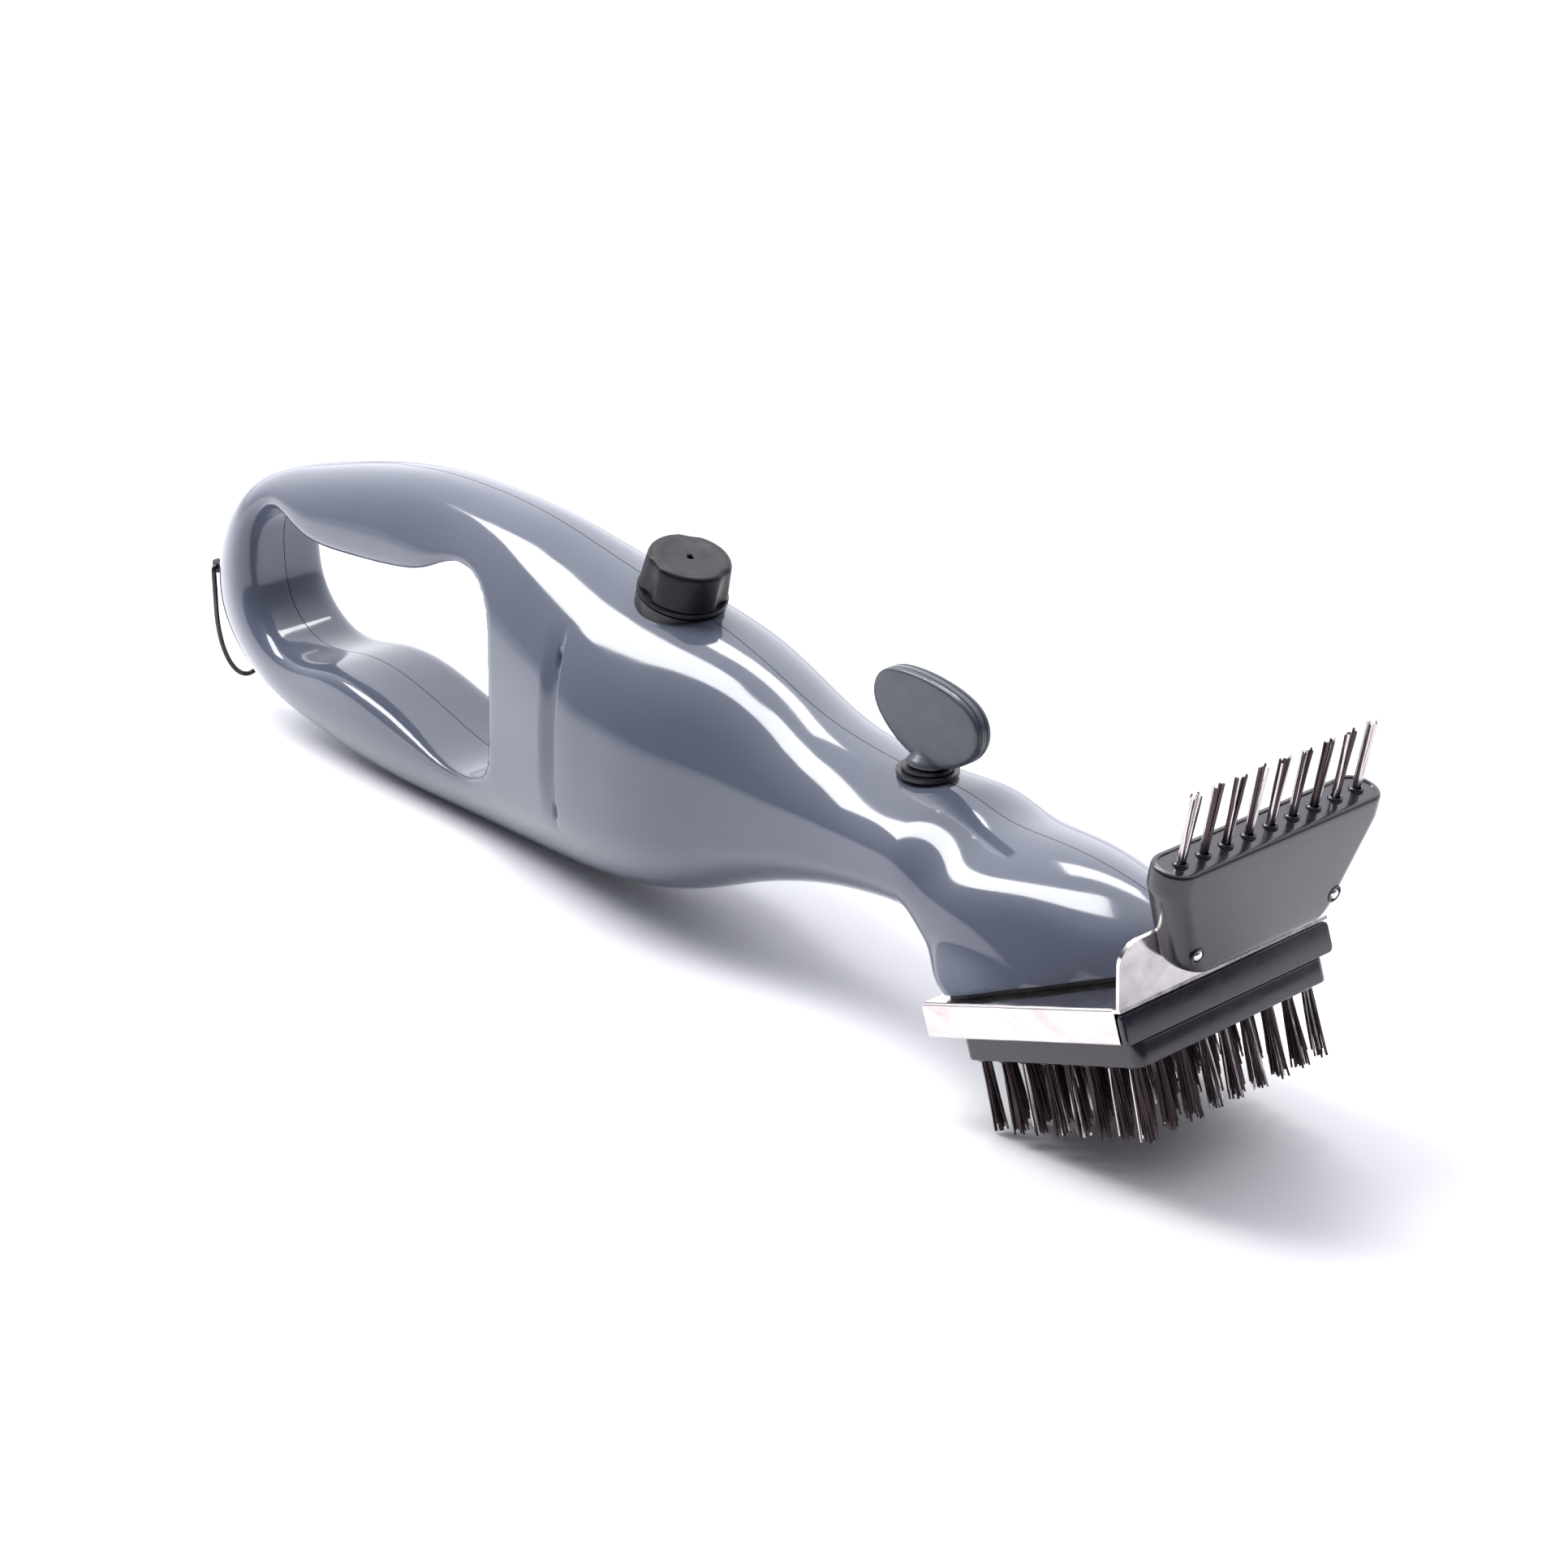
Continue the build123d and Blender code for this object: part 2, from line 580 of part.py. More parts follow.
HALF_PLATE = PLATE_WIDTH / 2
FLANGE_PROFILE = (
    (-HALF_PLATE, 0),
    (HALF_PLATE, 0),
    (HALF_PLATE, -FLANGE_DEPTH),
    (HALF_PLATE - LIP, -FLANGE_DEPTH),
    (HALF_PLATE - LIP, SHEET - FLANGE_DEPTH),
    (HALF_PLATE - SHEET, SHEET - FLANGE_DEPTH),
    (HALF_PLATE - SHEET, -SHEET),
    (SHEET - HALF_PLATE, -SHEET),
    (SHEET - HALF_PLATE, SHEET - FLANGE_DEPTH),
    (LIP - HALF_PLATE, SHEET - FLANGE_DEPTH),
    (LIP - HALF_PLATE, -FLANGE_DEPTH),
    (-HALF_PLATE, -FLANGE_DEPTH),
)
PIN_SPACING = 49.0
PIN_HEIGHT = 16.0
PIN_RADIUS = 1.4
PIN_CLEARANCE = 0.3
FLANGE_EDGE = 0.9              # outer bend radius of the folded sheet
TAB_ROOT = -0.6
TAB_CORNER = 5.0

with BuildPart() as steam_plate:
    rear = Plane(origin=head_point(-PLATE_LENGTH, 0), x_dir=(0, -1, 0), z_dir=-HEAD.x_dir)
    with BuildSketch(rear):
        with BuildLine():
            Polyline(*FLANGE_PROFILE, close=True)
        make_face()
    extrude(amount=-PLATE_LENGTH)
    long_corners = steam_plate.edges().filter_by(Axis((0, 0, 0), HEAD.x_dir))
    outer_corners = long_corners.filter_by(lambda edge: abs(edge.center().Y) > HALF_PLATE - SKIN)
    fillet(outer_corners, FLANGE_EDGE)
    with BuildSketch(tab_plane(-SHEET / 2)):
        with BuildLine():
            Polyline(
                (-HALF_PLATE, TAB_ROOT),
                (-TAB_HALF_TOP, TAB_HEIGHT),
                (TAB_HALF_TOP, TAB_HEIGHT),
                (HALF_PLATE, TAB_ROOT),
                close=True,
            )
        make_face()
    extrude(amount=SHEET)
    tab_corners = steam_plate.edges().filter_by(Axis((0, 0, 0), TAB_NORMAL))
    tab_corners = tab_corners.filter_by(lambda edge: abs(edge.center().Y) > TAB_HALF_TOP - SHEET)
    fillet(tab_corners, TAB_CORNER)
    with BuildSketch(head_plane(0)):
        with Locations((TAB_OFFSET / 2, 0)):
            Rectangle(TAB_OFFSET + SHEET, PLATE_WIDTH)
    extrude(amount=-SHEET)
    slot_height = TAB_HEIGHT - PIN_HEIGHT + SHEET
    with BuildSketch(tab_plane(-2 * SHEET)):
        for side in (-1, 1):
            with Locations((side * PIN_SPACING / 2, PIN_HEIGHT)):
                Circle(PIN_RADIUS + PIN_CLEARANCE)
            with Locations((side * PIN_SPACING / 2, PIN_HEIGHT + slot_height / 2)):
                Rectangle(2 * (PIN_RADIUS + PIN_CLEARANCE), slot_height)
    extrude(amount=4 * SHEET, mode=Mode.SUBTRACT)
    with BuildSketch(head_plane(SHEET)):
        with Locations(*SCREW_SITES):
            Circle(SCREW_RADIUS + PRESS_GAP)
        with Locations(*WATER_SITES):
            Circle(WATER_RADIUS)
    extrude(amount=-3 * SHEET, mode=Mode.SUBTRACT)
finish(steam_plate, "steam_plate")

SCREW_HEAD_RADIUS = 3.0
SCREW_HEAD_HEIGHT = 1.4
SCREW_LENGTH = 8.4
CROSS_LENGTH = 3.2
CROSS_WIDTH = 0.6
CROSS_DEPTH = 0.7

with BuildPart() as plate_screws:
    with BuildSketch(head_plane(-SHEET - SKIN)):
        with Locations(*SCREW_SITES):
            Circle(SCREW_HEAD_RADIUS)
    extrude(amount=-SCREW_HEAD_HEIGHT)
    with BuildSketch(head_plane(-SHEET - SKIN)):
        with Locations(*SCREW_SITES):
            Circle(SCREW_RADIUS)
    extrude(amount=SCREW_LENGTH)
    with BuildSketch(head_plane(-SHEET - SKIN - SCREW_HEAD_HEIGHT)):
        with Locations(*SCREW_SITES):
            Rectangle(CROSS_LENGTH, CROSS_WIDTH)
            Rectangle(CROSS_WIDTH, CROSS_LENGTH)
    extrude(amount=CROSS_DEPTH, mode=Mode.SUBTRACT)
finish(plate_screws, "plate_screws")


# ---------------------------------------------------------------- large brush
SLIDE_GAP = 0.25               # between the brush blocks and the sheet they slide on
SIDE_GAP = 0.3
RAIL_HALF = HALF_PLATE - SHEET - SIDE_GAP
RAIL_TOP = -SHEET - SLIDE_GAP
RAIL_BOTTOM = SHEET - FLANGE_DEPTH + SLIDE_GAP
WAIST_HALF = HALF_PLATE - LIP - SIDE_GAP
BLOCK_TOP = -FLANGE_DEPTH - SLIDE_GAP
BLOCK_BOTTOM = -15.6
BLOCK_HALF = 34.2
BLOCK_CORNER = 3.0
FRONT_X = 0.35
FASCIA = 1.9                   # thickness of the front face that covers the rails
FASCIA_CORNER = 2.4
FASCIA_OVERHANG = 1.5          # how far the lower block runs on under the fascia
SCREW_GROOVE = (7.4, 1.8)      # width and depth of the grooves that pass the screw heads
GROOVE_END = 4.0               # grooves run this far ahead of the screws
TUFT_SOCKET = 3.0
TUFT_FIT = 0.05
TUFT_FRONT_X = -3.6
TUFT_SPAN_X = TUFT_PITCH_X * (TUFT_COUNT_X - 1)
TUFT_MIDDLE_X = TUFT_FRONT_X - TUFT_SPAN_X / 2
TUFT_SPREAD = 2.1              # degrees, each side of a tuft
REAR_TUFT = head_point(TUFT_FRONT_X - TUFT_SPAN_X - TUFT_TIP_RADIUS, 0)
TUFT_LENGTH = BLOCK_BOTTOM + REAR_TUFT.Z / HEAD.z_dir.Z


def head_box(front, half_width, low, high, corner=0.0):
    """Block in head coordinates, as long as the brush, with its upright corners rounded."""
    length = front + BLOCK_LENGTH
    with BuildPart() as block:
        with BuildSketch(head_plane(low)):
            with Locations((front - length / 2, 0)):
                if corner:
                    RectangleRounded(length, 2 * half_width, corner)
                else:
                    Rectangle(length, 2 * half_width)
        extrude(amount=high - low)
    return block.part


def tuft_rows(growth=0.0):
    """Round sections of all the large brush's tufts, on the current sketch plane."""
    with GridLocations(TUFT_PITCH_X, TUFT_PITCH_Y, TUFT_COUNT_X, TUFT_COUNT_Y):
        Circle(TUFT_ROOT_RADIUS + growth)


def under_block(height):
    """Downward plane over the middle of the tufts, at a height in head coordinates."""
    return Plane(origin=head_point(TUFT_MIDDLE_X, height), x_dir=HEAD.x_dir, z_dir=-HEAD.z_dir)


with BuildPart() as large_brush_block:
    add(head_box(FRONT_X, RAIL_HALF, RAIL_BOTTOM, RAIL_TOP))
    add(head_box(FRONT_X, WAIST_HALF, BLOCK_TOP, RAIL_BOTTOM))
    add(head_box(FRONT_X + FASCIA_OVERHANG, BLOCK_HALF, BLOCK_BOTTOM, BLOCK_TOP, BLOCK_CORNER))
    fascia_height = RAIL_TOP - BLOCK_TOP
    with BuildSketch(Plane(origin=head_point(FRONT_X, 0), x_dir=(0, 1, 0), z_dir=HEAD.x_dir)):
        with Locations((0, BLOCK_TOP + fascia_height / 2)):
            RectangleRounded(PLATE_WIDTH, fascia_height, FASCIA_CORNER)
        with Locations((0, RAIL_TOP - fascia_height / 4)):
            Rectangle(PLATE_WIDTH, fascia_height / 2)
    extrude(amount=FASCIA)
    for screw_x, screw_y in SCREW_SITES:
        groove_front = screw_x + GROOVE_END
        groove_length = BLOCK_LENGTH + groove_front
        with BuildSketch(head_plane(RAIL_TOP)):
            with Locations((groove_front - groove_length / 2, screw_y)):
                Rectangle(groove_length, SCREW_GROOVE[0])
        extrude(amount=-SCREW_GROOVE[1], mode=Mode.SUBTRACT)
    with BuildSketch(under_block(BLOCK_BOTTOM + TUFT_SOCKET)):
        tuft_rows(TUFT_FIT)
    extrude(amount=TUFT_SOCKET, mode=Mode.SUBTRACT)
finish(large_brush_block, "large_brush_block")

with BuildPart() as large_brush_tufts:
    with BuildSketch(under_block(BLOCK_BOTTOM + TUFT_SOCKET - TUFT_FIT)):
        tuft_rows()
    extrude(amount=TUFT_SOCKET)
    with BuildSketch(under_block(BLOCK_BOTTOM)):
        tuft_rows()
    extrude(amount=TUFT_LENGTH, taper=-TUFT_SPREAD)
finish(large_brush_tufts, "large_brush_tufts")


# ---------------------------------------------------------------- small brush
SMALL_FRONT = 9.4              # faces of the block ahead of and behind the tab's plane
SMALL_REAR = -2.6
SMALL_BASE = 9.0               # lowest and highest edge, measured up the tab
SMALL_TOP = 40.5
SMALL_SHOULDER = 6.0           # straight upper part of each end
SMALL_HALF_BASE = 26.0
SMALL_HALF_TOP = 37.6
SMALL_LOWER_CORNER = 5.0
SMALL_END_CORNER = 4.5
SMALL_TUFT_AHEAD = 3.8
PIN_RECESS = 0.3


def pin_circles(growth=0.0):
    """The two pins' round sections, on a sketch plane of the tab."""
    with Locations((-PIN_SPACING / 2, PIN_HEIGHT), (PIN_SPACING / 2, PIN_HEIGHT)):
        Circle(PIN_RADIUS + growth)


def small_tuft_row(growth=0.0):
    """Round sections of the small brush's tufts, on a sketch plane square to the tab."""
    with Locations((0, -SMALL_TUFT_AHEAD)):
        with GridLocations(TUFT_PITCH_Y, 1, TUFT_COUNT_Y, 1):
            Circle(TUFT_ROOT_RADIUS + growth)


with BuildPart() as small_brush_block:
    with BuildSketch(tab_plane(SMALL_REAR)) as outline:
        with BuildLine():
            Polyline(
                (-SMALL_HALF_BASE, SMALL_BASE),
                (-SMALL_HALF_TOP, SMALL_TOP - SMALL_SHOULDER),
                (-SMALL_HALF_TOP, SMALL_TOP),
                (SMALL_HALF_TOP, SMALL_TOP),
                (SMALL_HALF_TOP, SMALL_TOP - SMALL_SHOULDER),
                (SMALL_HALF_BASE, SMALL_BASE),
                close=True,
            )
        make_face()
        fillet(outline.vertices().sort_by(Axis.Y)[:2], SMALL_LOWER_CORNER)
    extrude(amount=SMALL_FRONT - SMALL_REAR)
    upright = small_brush_block.edges().filter_by(Axis((0, 0, 0), TAB_DIRECTION))
    fillet(upright.filter_by(lambda edge: abs(edge.center().Y) > SMALL_HALF_TOP - SKIN), SMALL_END_CORNER)
    slot_depth = TAB_HEIGHT + 4 * SLIDE_GAP
    with BuildSketch(tab_plane(-SHEET / 2 - SLIDE_GAP)):
        with Locations((0, slot_depth / 2)):
            Rectangle(2 * PLATE_WIDTH, slot_depth)
    extrude(amount=SHEET + 2 * SLIDE_GAP, mode=Mode.SUBTRACT)
    with BuildSketch(tab_plane(SMALL_REAR)):
        pin_circles(TUFT_FIT)
    extrude(amount=SMALL_FRONT - SMALL_REAR, mode=Mode.SUBTRACT)
    with BuildSketch(across_tab(SMALL_TOP)):
        small_tuft_row(TUFT_FIT)
    extrude(amount=-TUFT_SOCKET, mode=Mode.SUBTRACT)
finish(small_brush_block, "small_brush_block")

with BuildPart() as small_brush_tufts:
    with BuildSketch(across_tab(SMALL_TOP - TUFT_SOCKET + TUFT_FIT)):
        small_tuft_row()
    extrude(amount=TUFT_SOCKET)
    with BuildSketch(across_tab(SMALL_TOP)):
        small_tuft_row()
    extrude(amount=SMALL_TUFT_LENGTH, taper=-TUFT_SPREAD)
finish(small_brush_tufts, "small_brush_tufts")

with BuildPart() as small_brush_pins:
    with BuildSketch(tab_plane(SMALL_REAR + PIN_RECESS)):
        pin_circles()
    extrude(amount=SMALL_FRONT - SMALL_REAR - 2 * PIN_RECESS)
finish(small_brush_pins, "small_brush_pins")


# ---------------------------------------------------------------- hanging loop
EYELET_FIT = 0.02
EYELET_BORE = WIRE_RADIUS + 0.08
PIN_INNER_Y = 5.4              # inner end of each bent wire end
WIRE_BEND = 1.4
LOOP_SHOULDER = 14.0           # straight legs end this far below the pivot

with BuildPart() as loop_eyelets:
    for side in (-1, 1):
        with BuildSketch(eyelet_plane(side, EYELET_FACE)):
            Circle(SHELL_EYELET - EYELET_FIT)
            Circle(EYELET_BORE, mode=Mode.SUBTRACT)
        extrude(amount=EYELET_DEPTH)
finish(loop_eyelets, "loop_eyelets")

with BuildPart() as hang_loop:
    shoulder = PIVOT_Z - LOOP_SHOULDER
    bend_z = PIVOT_Z - WIRE_BEND
    bend_y = LOOP_HALF_WIDTH - WIRE_BEND
    depth = LOOP_LENGTH - LOOP_SHOULDER
    with BuildLine(Plane(origin=(PIVOT_X, 0, 0), x_dir=(0, 1, 0), z_dir=(1, 0, 0))) as wire:
        right_pin = Line((-PIN_INNER_Y, PIVOT_Z), (-bend_y, PIVOT_Z))
        right_bend = RadiusArc(right_pin @ 1, (-LOOP_HALF_WIDTH, bend_z), -WIRE_BEND)
        Line(right_bend @ 1, (-LOOP_HALF_WIDTH, shoulder))
        EllipticalCenterArc((0, shoulder), LOOP_HALF_WIDTH, depth, start_angle=180, arc_size=180)
        left_leg = Line((LOOP_HALF_WIDTH, shoulder), (LOOP_HALF_WIDTH, bend_z))
        left_bend = RadiusArc(left_leg @ 1, (bend_y, PIVOT_Z), -WIRE_BEND)
        Line(left_bend @ 1, (PIN_INNER_Y, PIVOT_Z))
    with BuildSketch(Plane(origin=wire.line @ 0, x_dir=(1, 0, 0), z_dir=(0, -1, 0))):
        Circle(WIRE_RADIUS)
    sweep(path=wire.line)
finish(hang_loop, "hang_loop")
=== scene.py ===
"""Looks of the grill cleaning brush: glossy handle, cap, valve paddle, steel head and wire tufts.

Shapes are worked out in millimetres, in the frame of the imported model: +X runs from the hanging
loop to the head, +Z is up, y = 0 is the middle plane. Every mesh is scaled to metres when it is made.
"""

import math
import random

import bmesh
import bpy
import numpy as np
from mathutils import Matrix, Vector


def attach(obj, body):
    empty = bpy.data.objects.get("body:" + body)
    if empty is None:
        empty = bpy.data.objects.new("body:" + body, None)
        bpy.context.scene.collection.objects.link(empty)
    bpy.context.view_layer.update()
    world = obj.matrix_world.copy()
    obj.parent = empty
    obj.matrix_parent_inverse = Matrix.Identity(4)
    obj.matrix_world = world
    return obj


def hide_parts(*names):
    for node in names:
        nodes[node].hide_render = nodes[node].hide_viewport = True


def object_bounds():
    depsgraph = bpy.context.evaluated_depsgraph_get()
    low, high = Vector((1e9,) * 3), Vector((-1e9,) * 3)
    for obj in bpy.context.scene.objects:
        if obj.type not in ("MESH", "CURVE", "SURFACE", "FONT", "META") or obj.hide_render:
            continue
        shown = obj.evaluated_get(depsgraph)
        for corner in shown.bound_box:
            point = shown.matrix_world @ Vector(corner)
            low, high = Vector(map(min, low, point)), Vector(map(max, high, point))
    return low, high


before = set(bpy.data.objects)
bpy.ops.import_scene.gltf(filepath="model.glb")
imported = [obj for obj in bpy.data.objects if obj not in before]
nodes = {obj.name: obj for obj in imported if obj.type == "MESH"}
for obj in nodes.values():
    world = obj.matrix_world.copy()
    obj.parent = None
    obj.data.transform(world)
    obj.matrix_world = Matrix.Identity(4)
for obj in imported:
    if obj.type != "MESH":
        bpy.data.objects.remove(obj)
cad_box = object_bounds()
MM = 0.001
rng = random.Random(7)


# ---- camera, floor and lights
CAMERA_TARGET = (0.0413, 0.0, 0.0486)
CAMERA_BACK = (0.672, -0.624, 0.399)       # direction from the target back to the camera
CAMERA_DISTANCE = 0.956
CAMERA_LENS = 82.5
SENSOR_WIDTH = 36.0
FLOOR_HALF_SIZE = 20.0
FLOOR_GAP = 0.0002               # keeps the floor from touching the lowest bristles
SWEEP_DIRECTION = (-0.6, 0.6, 0.53)        # the white sweep rises behind the object
SWEEP_TONES = [(0.0, (0.09, 0.09, 0.11)), (0.3, (0.42, 0.42, 0.47)), (1.0, (1.75, 1.76, 1.86))]


def look_at(thing, place, target):
    """Put a camera or a light at a place and aim it at a target."""
    thing.location = place
    aim = Vector(target) - Vector(place)
    thing.rotation_euler = aim.to_track_quat("-Z", "Y").to_euler()


def make_camera():
    """The one camera, aimed at the middle of the object."""
    lens = bpy.data.cameras.new("camera")
    lens.lens = CAMERA_LENS
    lens.sensor_width = SENSOR_WIDTH
    camera = bpy.data.objects.new("camera", lens)
    bpy.context.collection.objects.link(camera)
    target = Vector(CAMERA_TARGET)
    look_at(camera, target + Vector(CAMERA_BACK).normalized() * CAMERA_DISTANCE, target)
    bpy.context.scene.camera = camera


def area_light(name, place, target, size, power):
    """A soft rectangular lamp: size is its width and height in metres."""
    lamp = bpy.data.lights.new(name, "AREA")
    lamp.shape = "RECTANGLE"
    lamp.size, lamp.size_y = size
    lamp.energy = power
    light = bpy.data.objects.new(name, lamp)
    bpy.context.collection.objects.link(light)
    look_at(light, place, target)
    return light


def make_studio():
    """Pale surroundings that darken toward the front, and two soft lamps."""
    world = bpy.data.worlds.new("studio")
    bpy.context.scene.world = world
    world.use_nodes = True
    tree = world.node_tree
    place = tree.nodes.new("ShaderNodeTexCoord")
    facing = tree.nodes.new("ShaderNodeVectorMath")
    facing.operation = "DOT_PRODUCT"
    facing.inputs[1].default_value = SWEEP_DIRECTION
    tree.links.new(place.outputs["Generated"], facing.inputs[0])
    bright = tree.nodes.new("ShaderNodeMapRange")
    bright.inputs["From Min"].default_value = -0.1
    bright.inputs["From Max"].default_value = 0.75
    tree.links.new(facing.outputs["Value"], bright.inputs["Value"])
    tones = ramp(tree, bright.outputs["Result"], SWEEP_TONES)
    tree.links.new(tones, tree.nodes["Background"].inputs["Color"])
    area_light("key_softbox", (-0.45, -0.27, 0.98), (0.04, 0, 0.06), (0.34, 0.98), 12.5)
    area_light("top_softbox", (-0.25, 0.42, 0.94), (0.05, 0, 0.06), (0.34, 0.22), 2.4)
    bpy.context.scene.view_settings.view_transform = "Standard"


def make_floor():
    """Plain pale floor just under the object."""
    size = FLOOR_HALF_SIZE
    corners = [(-size, -size, 0), (size, -size, 0), (size, size, 0), (-size, size, 0)]
    mesh = bpy.data.meshes.new("studio_floor")
    mesh.from_pydata(corners, [], [(0, 1, 2, 3)])
    floor = bpy.data.objects.new("studio_floor", mesh)
    floor.location.z = cad_box[0][2] - FLOOR_GAP
    bpy.context.collection.objects.link(floor)
    floor.data.materials.append(plain_material("floor_white", (0.93, 0.93, 0.95), 0.6))


# ---- materials
def new_material(name):
    """A node material with its tree and its shader."""
    material = bpy.data.materials.new(name)
    material.use_nodes = True
    tree = material.node_tree
    return material, tree, tree.nodes["Principled BSDF"]


def plain_material(name, colour, roughness):
    """Matte surface with a faint change of tone."""
    material, tree, shader = new_material(name)
    tone = noise(tree, 8.0, 2.0)
    mix = ramp(tree, tone, [(0.0, scaled(colour, 0.99)), (1.0, scaled(colour, 1.01))])
    tree.links.new(mix, shader.inputs["Base Color"])
    shader.inputs["Roughness"].default_value = roughness
    return material


def scaled(colour, factor):
    """A colour made lighter or darker."""
    return tuple(channel * factor for channel in colour)


def coordinates(tree, stretch=(1, 1, 1)):
    """Object coordinates, squeezed along an axis to draw the noise out into streaks."""
    place = tree.nodes.new("ShaderNodeTexCoord")
    mapping = tree.nodes.new("ShaderNodeMapping")
    mapping.inputs["Scale"].default_value = stretch
    tree.links.new(place.outputs["Object"], mapping.inputs["Vector"])
    return mapping.outputs["Vector"]


def noise(tree, scale, detail, stretch=(1, 1, 1), roughness=0.5):
    """Noise value; scale is in cells per metre."""
    texture = tree.nodes.new("ShaderNodeTexNoise")
    texture.inputs["Scale"].default_value = scale
    texture.inputs["Detail"].default_value = detail
    texture.inputs["Roughness"].default_value = roughness
    tree.links.new(coordinates(tree, stretch), texture.inputs["Vector"])
    return texture.outputs["Fac"]


def ramp(tree, value, stops):
    """Colour ramp through (position, colour) stops."""
    node = tree.nodes.new("ShaderNodeValToRGB")
    elements = node.color_ramp.elements
    while len(elements) < len(stops):
        elements.new(0.5)
    for element, (position, colour) in zip(elements, stops):
        element.position = position
        element.color = (*colour, 1.0)
    tree.links.new(value, node.inputs["Fac"])
    return node.outputs["Color"]


def spread(tree, value, low, high):
    """Map a 0.3 to 0.7 noise value on to low to high."""
    node = tree.nodes.new("ShaderNodeMapRange")
    node.inputs["From Min"].default_value = 0.3
    node.inputs["From Max"].default_value = 0.7
    node.inputs["To Min"].default_value = low
    node.inputs["To Max"].default_value = high
    tree.links.new(value, node.inputs["Value"])
    return node.outputs["Result"]


def bump(tree, shader, heights):
    """Chain bumps: heights is a list of (value, distance in metres, strength)."""
    normal = None
    for value, distance, strength in heights:
        node = tree.nodes.new("ShaderNodeBump")
        node.inputs["Distance"].default_value = distance
        node.inputs["Strength"].default_value = strength
        tree.links.new(value, node.inputs["Height"])
        if normal:
            tree.links.new(normal, node.inputs["Normal"])
        normal = node.outputs["Normal"]
    tree.links.new(normal, shader.inputs["Normal"])


def handle_plastic():
    """Glossy slate-blue moulding: slightly wavy surface, fine dust and handling marks."""
    material, tree, shader = new_material("handle_plastic")
    tone = noise(tree, 14.0, 3.0)
    colour = ramp(tree, tone, [(0.3, (0.094, 0.107, 0.146)), (0.7, (0.104, 0.118, 0.16))])
    tree.links.new(colour, shader.inputs["Base Color"])
    marks = noise(tree, 60.0, 6.0, (1, 1.6, 1.6))
    tree.links.new(spread(tree, marks, 0.07, 0.13), shader.inputs["Roughness"])
    shader.inputs["IOR"].default_value = 1.53
    shader.inputs["Coat Weight"].default_value = 0.35
    shader.inputs["Coat Roughness"].default_value = 0.03
    waves = noise(tree, 38.0, 1.5, (0.8, 1, 1))
    skin = noise(tree, 900.0, 2.0)
    bump(tree, shader, [(waves, 0.0008, 0.45), (skin, 0.00002, 0.15)])
    return material


def moulded_plastic(name, dark, light, gloss, grain=1400.0, grain_depth=0.00006, index=1.5):
    """Black or grey moulding: gloss is its (lowest, highest) roughness, index its refraction."""
    material, tree, shader = new_material(name)
    tone = noise(tree, 90.0, 5.0, roughness=0.6)
    tree.links.new(ramp(tree, tone, [(0.3, dark), (0.7, light)]), shader.inputs["Base Color"])
    marks = noise(tree, 240.0, 4.0)
    tree.links.new(spread(tree, marks, *gloss), shader.inputs["Roughness"])
    shader.inputs["IOR"].default_value = index
    grainy = noise(tree, grain, 3.0)
    bump(tree, shader, [(grainy, grain_depth, 0.5)])
    return material


def steel(name, dark, light, gloss, streaks, streak_depth, dents=0.0):
    """Metal with fine rolling streaks along one axis and faint dents."""
    material, tree, shader = new_material(name)
    shader.inputs["Metallic"].default_value = 1.0
    tone = noise(tree, 160.0, 5.0, streaks, 0.65)
    tree.links.new(ramp(tree, tone, [(0.25, dark), (0.75, light)]), shader.inputs["Base Color"])
    fine = noise(tree, 700.0, 4.0, streaks, 0.6)
    tree.links.new(spread(tree, fine, *gloss), shader.inputs["Roughness"])
    heights = [(fine, streak_depth, 0.4)]
    if dents:
        heights.append((noise(tree, 55.0, 2.0), dents, 0.5))
    bump(tree, shader, heights)
    return material


# ---- mesh helpers
def make_piece(name, points, faces, body, materials, replaces=(), smooth=True):
    """New mesh piece from millimetre points, riding on a body and standing for CAD nodes."""
    mesh = bpy.data.meshes.new(name)
    mesh.from_pydata([tuple(point) for point in np.asarray(points) * MM], [], faces)
    mesh.update()
    piece = bpy.data.objects.new(name, mesh)
    bpy.context.collection.objects.link(piece)
    for material in materials:
        mesh.materials.append(material)
    mesh.polygons.foreach_set("use_smooth", [smooth] * len(mesh.polygons))
    if replaces:
        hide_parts(*replaces)
    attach(piece, body)
    return piece


def sharpen(piece, degrees):
    """Crease the shading where faces meet at more than an angle."""
    limit = math.radians(degrees)
    work = bmesh.new()
    work.from_mesh(piece.data)
    bmesh.ops.recalc_face_normals(work, faces=work.faces)
    for edge in work.edges:
        edge.smooth = len(edge.link_faces) == 2 and edge.calc_face_angle() < limit
    work.to_mesh(piece.data)
    work.free()


def bridge(first, second, count):
    """Quads between two closed rings of points with the same count."""
    return [(first + i, first + (i + 1) % count, second + (i + 1) % count, second + i)
            for i in range(count)]


def stack_rings(rings, close_first=True, close_last=True):
    """Points and faces of a skin through rings of equal length, closed at its ends."""
    count = len(rings[0])
    points = [point for ring in rings for point in ring]
    faces = []
    for index in range(len(rings) - 1):
        faces += bridge(index * count, (index + 1) * count, count)
    if close_first:
        faces.append(tuple(range(count - 1, -1, -1)))
    if close_last:
        faces.append(tuple(range((len(rings) - 1) * count, len(rings) * count)))
    return points, faces


def circle(radius, count, centre=(0, 0)):
    """Closed outline of a circle, as pairs."""
    turns = [2 * math.pi * k / count for k in range(count)]
    return [(centre[0] + radius * math.cos(a), centre[1] + radius * math.sin(a)) for a in turns]


def level_circle(radius, height, count):
    """Circle about the local up axis, at a height."""
    return [(x, y, height) for x, y in circle(radius, count)]


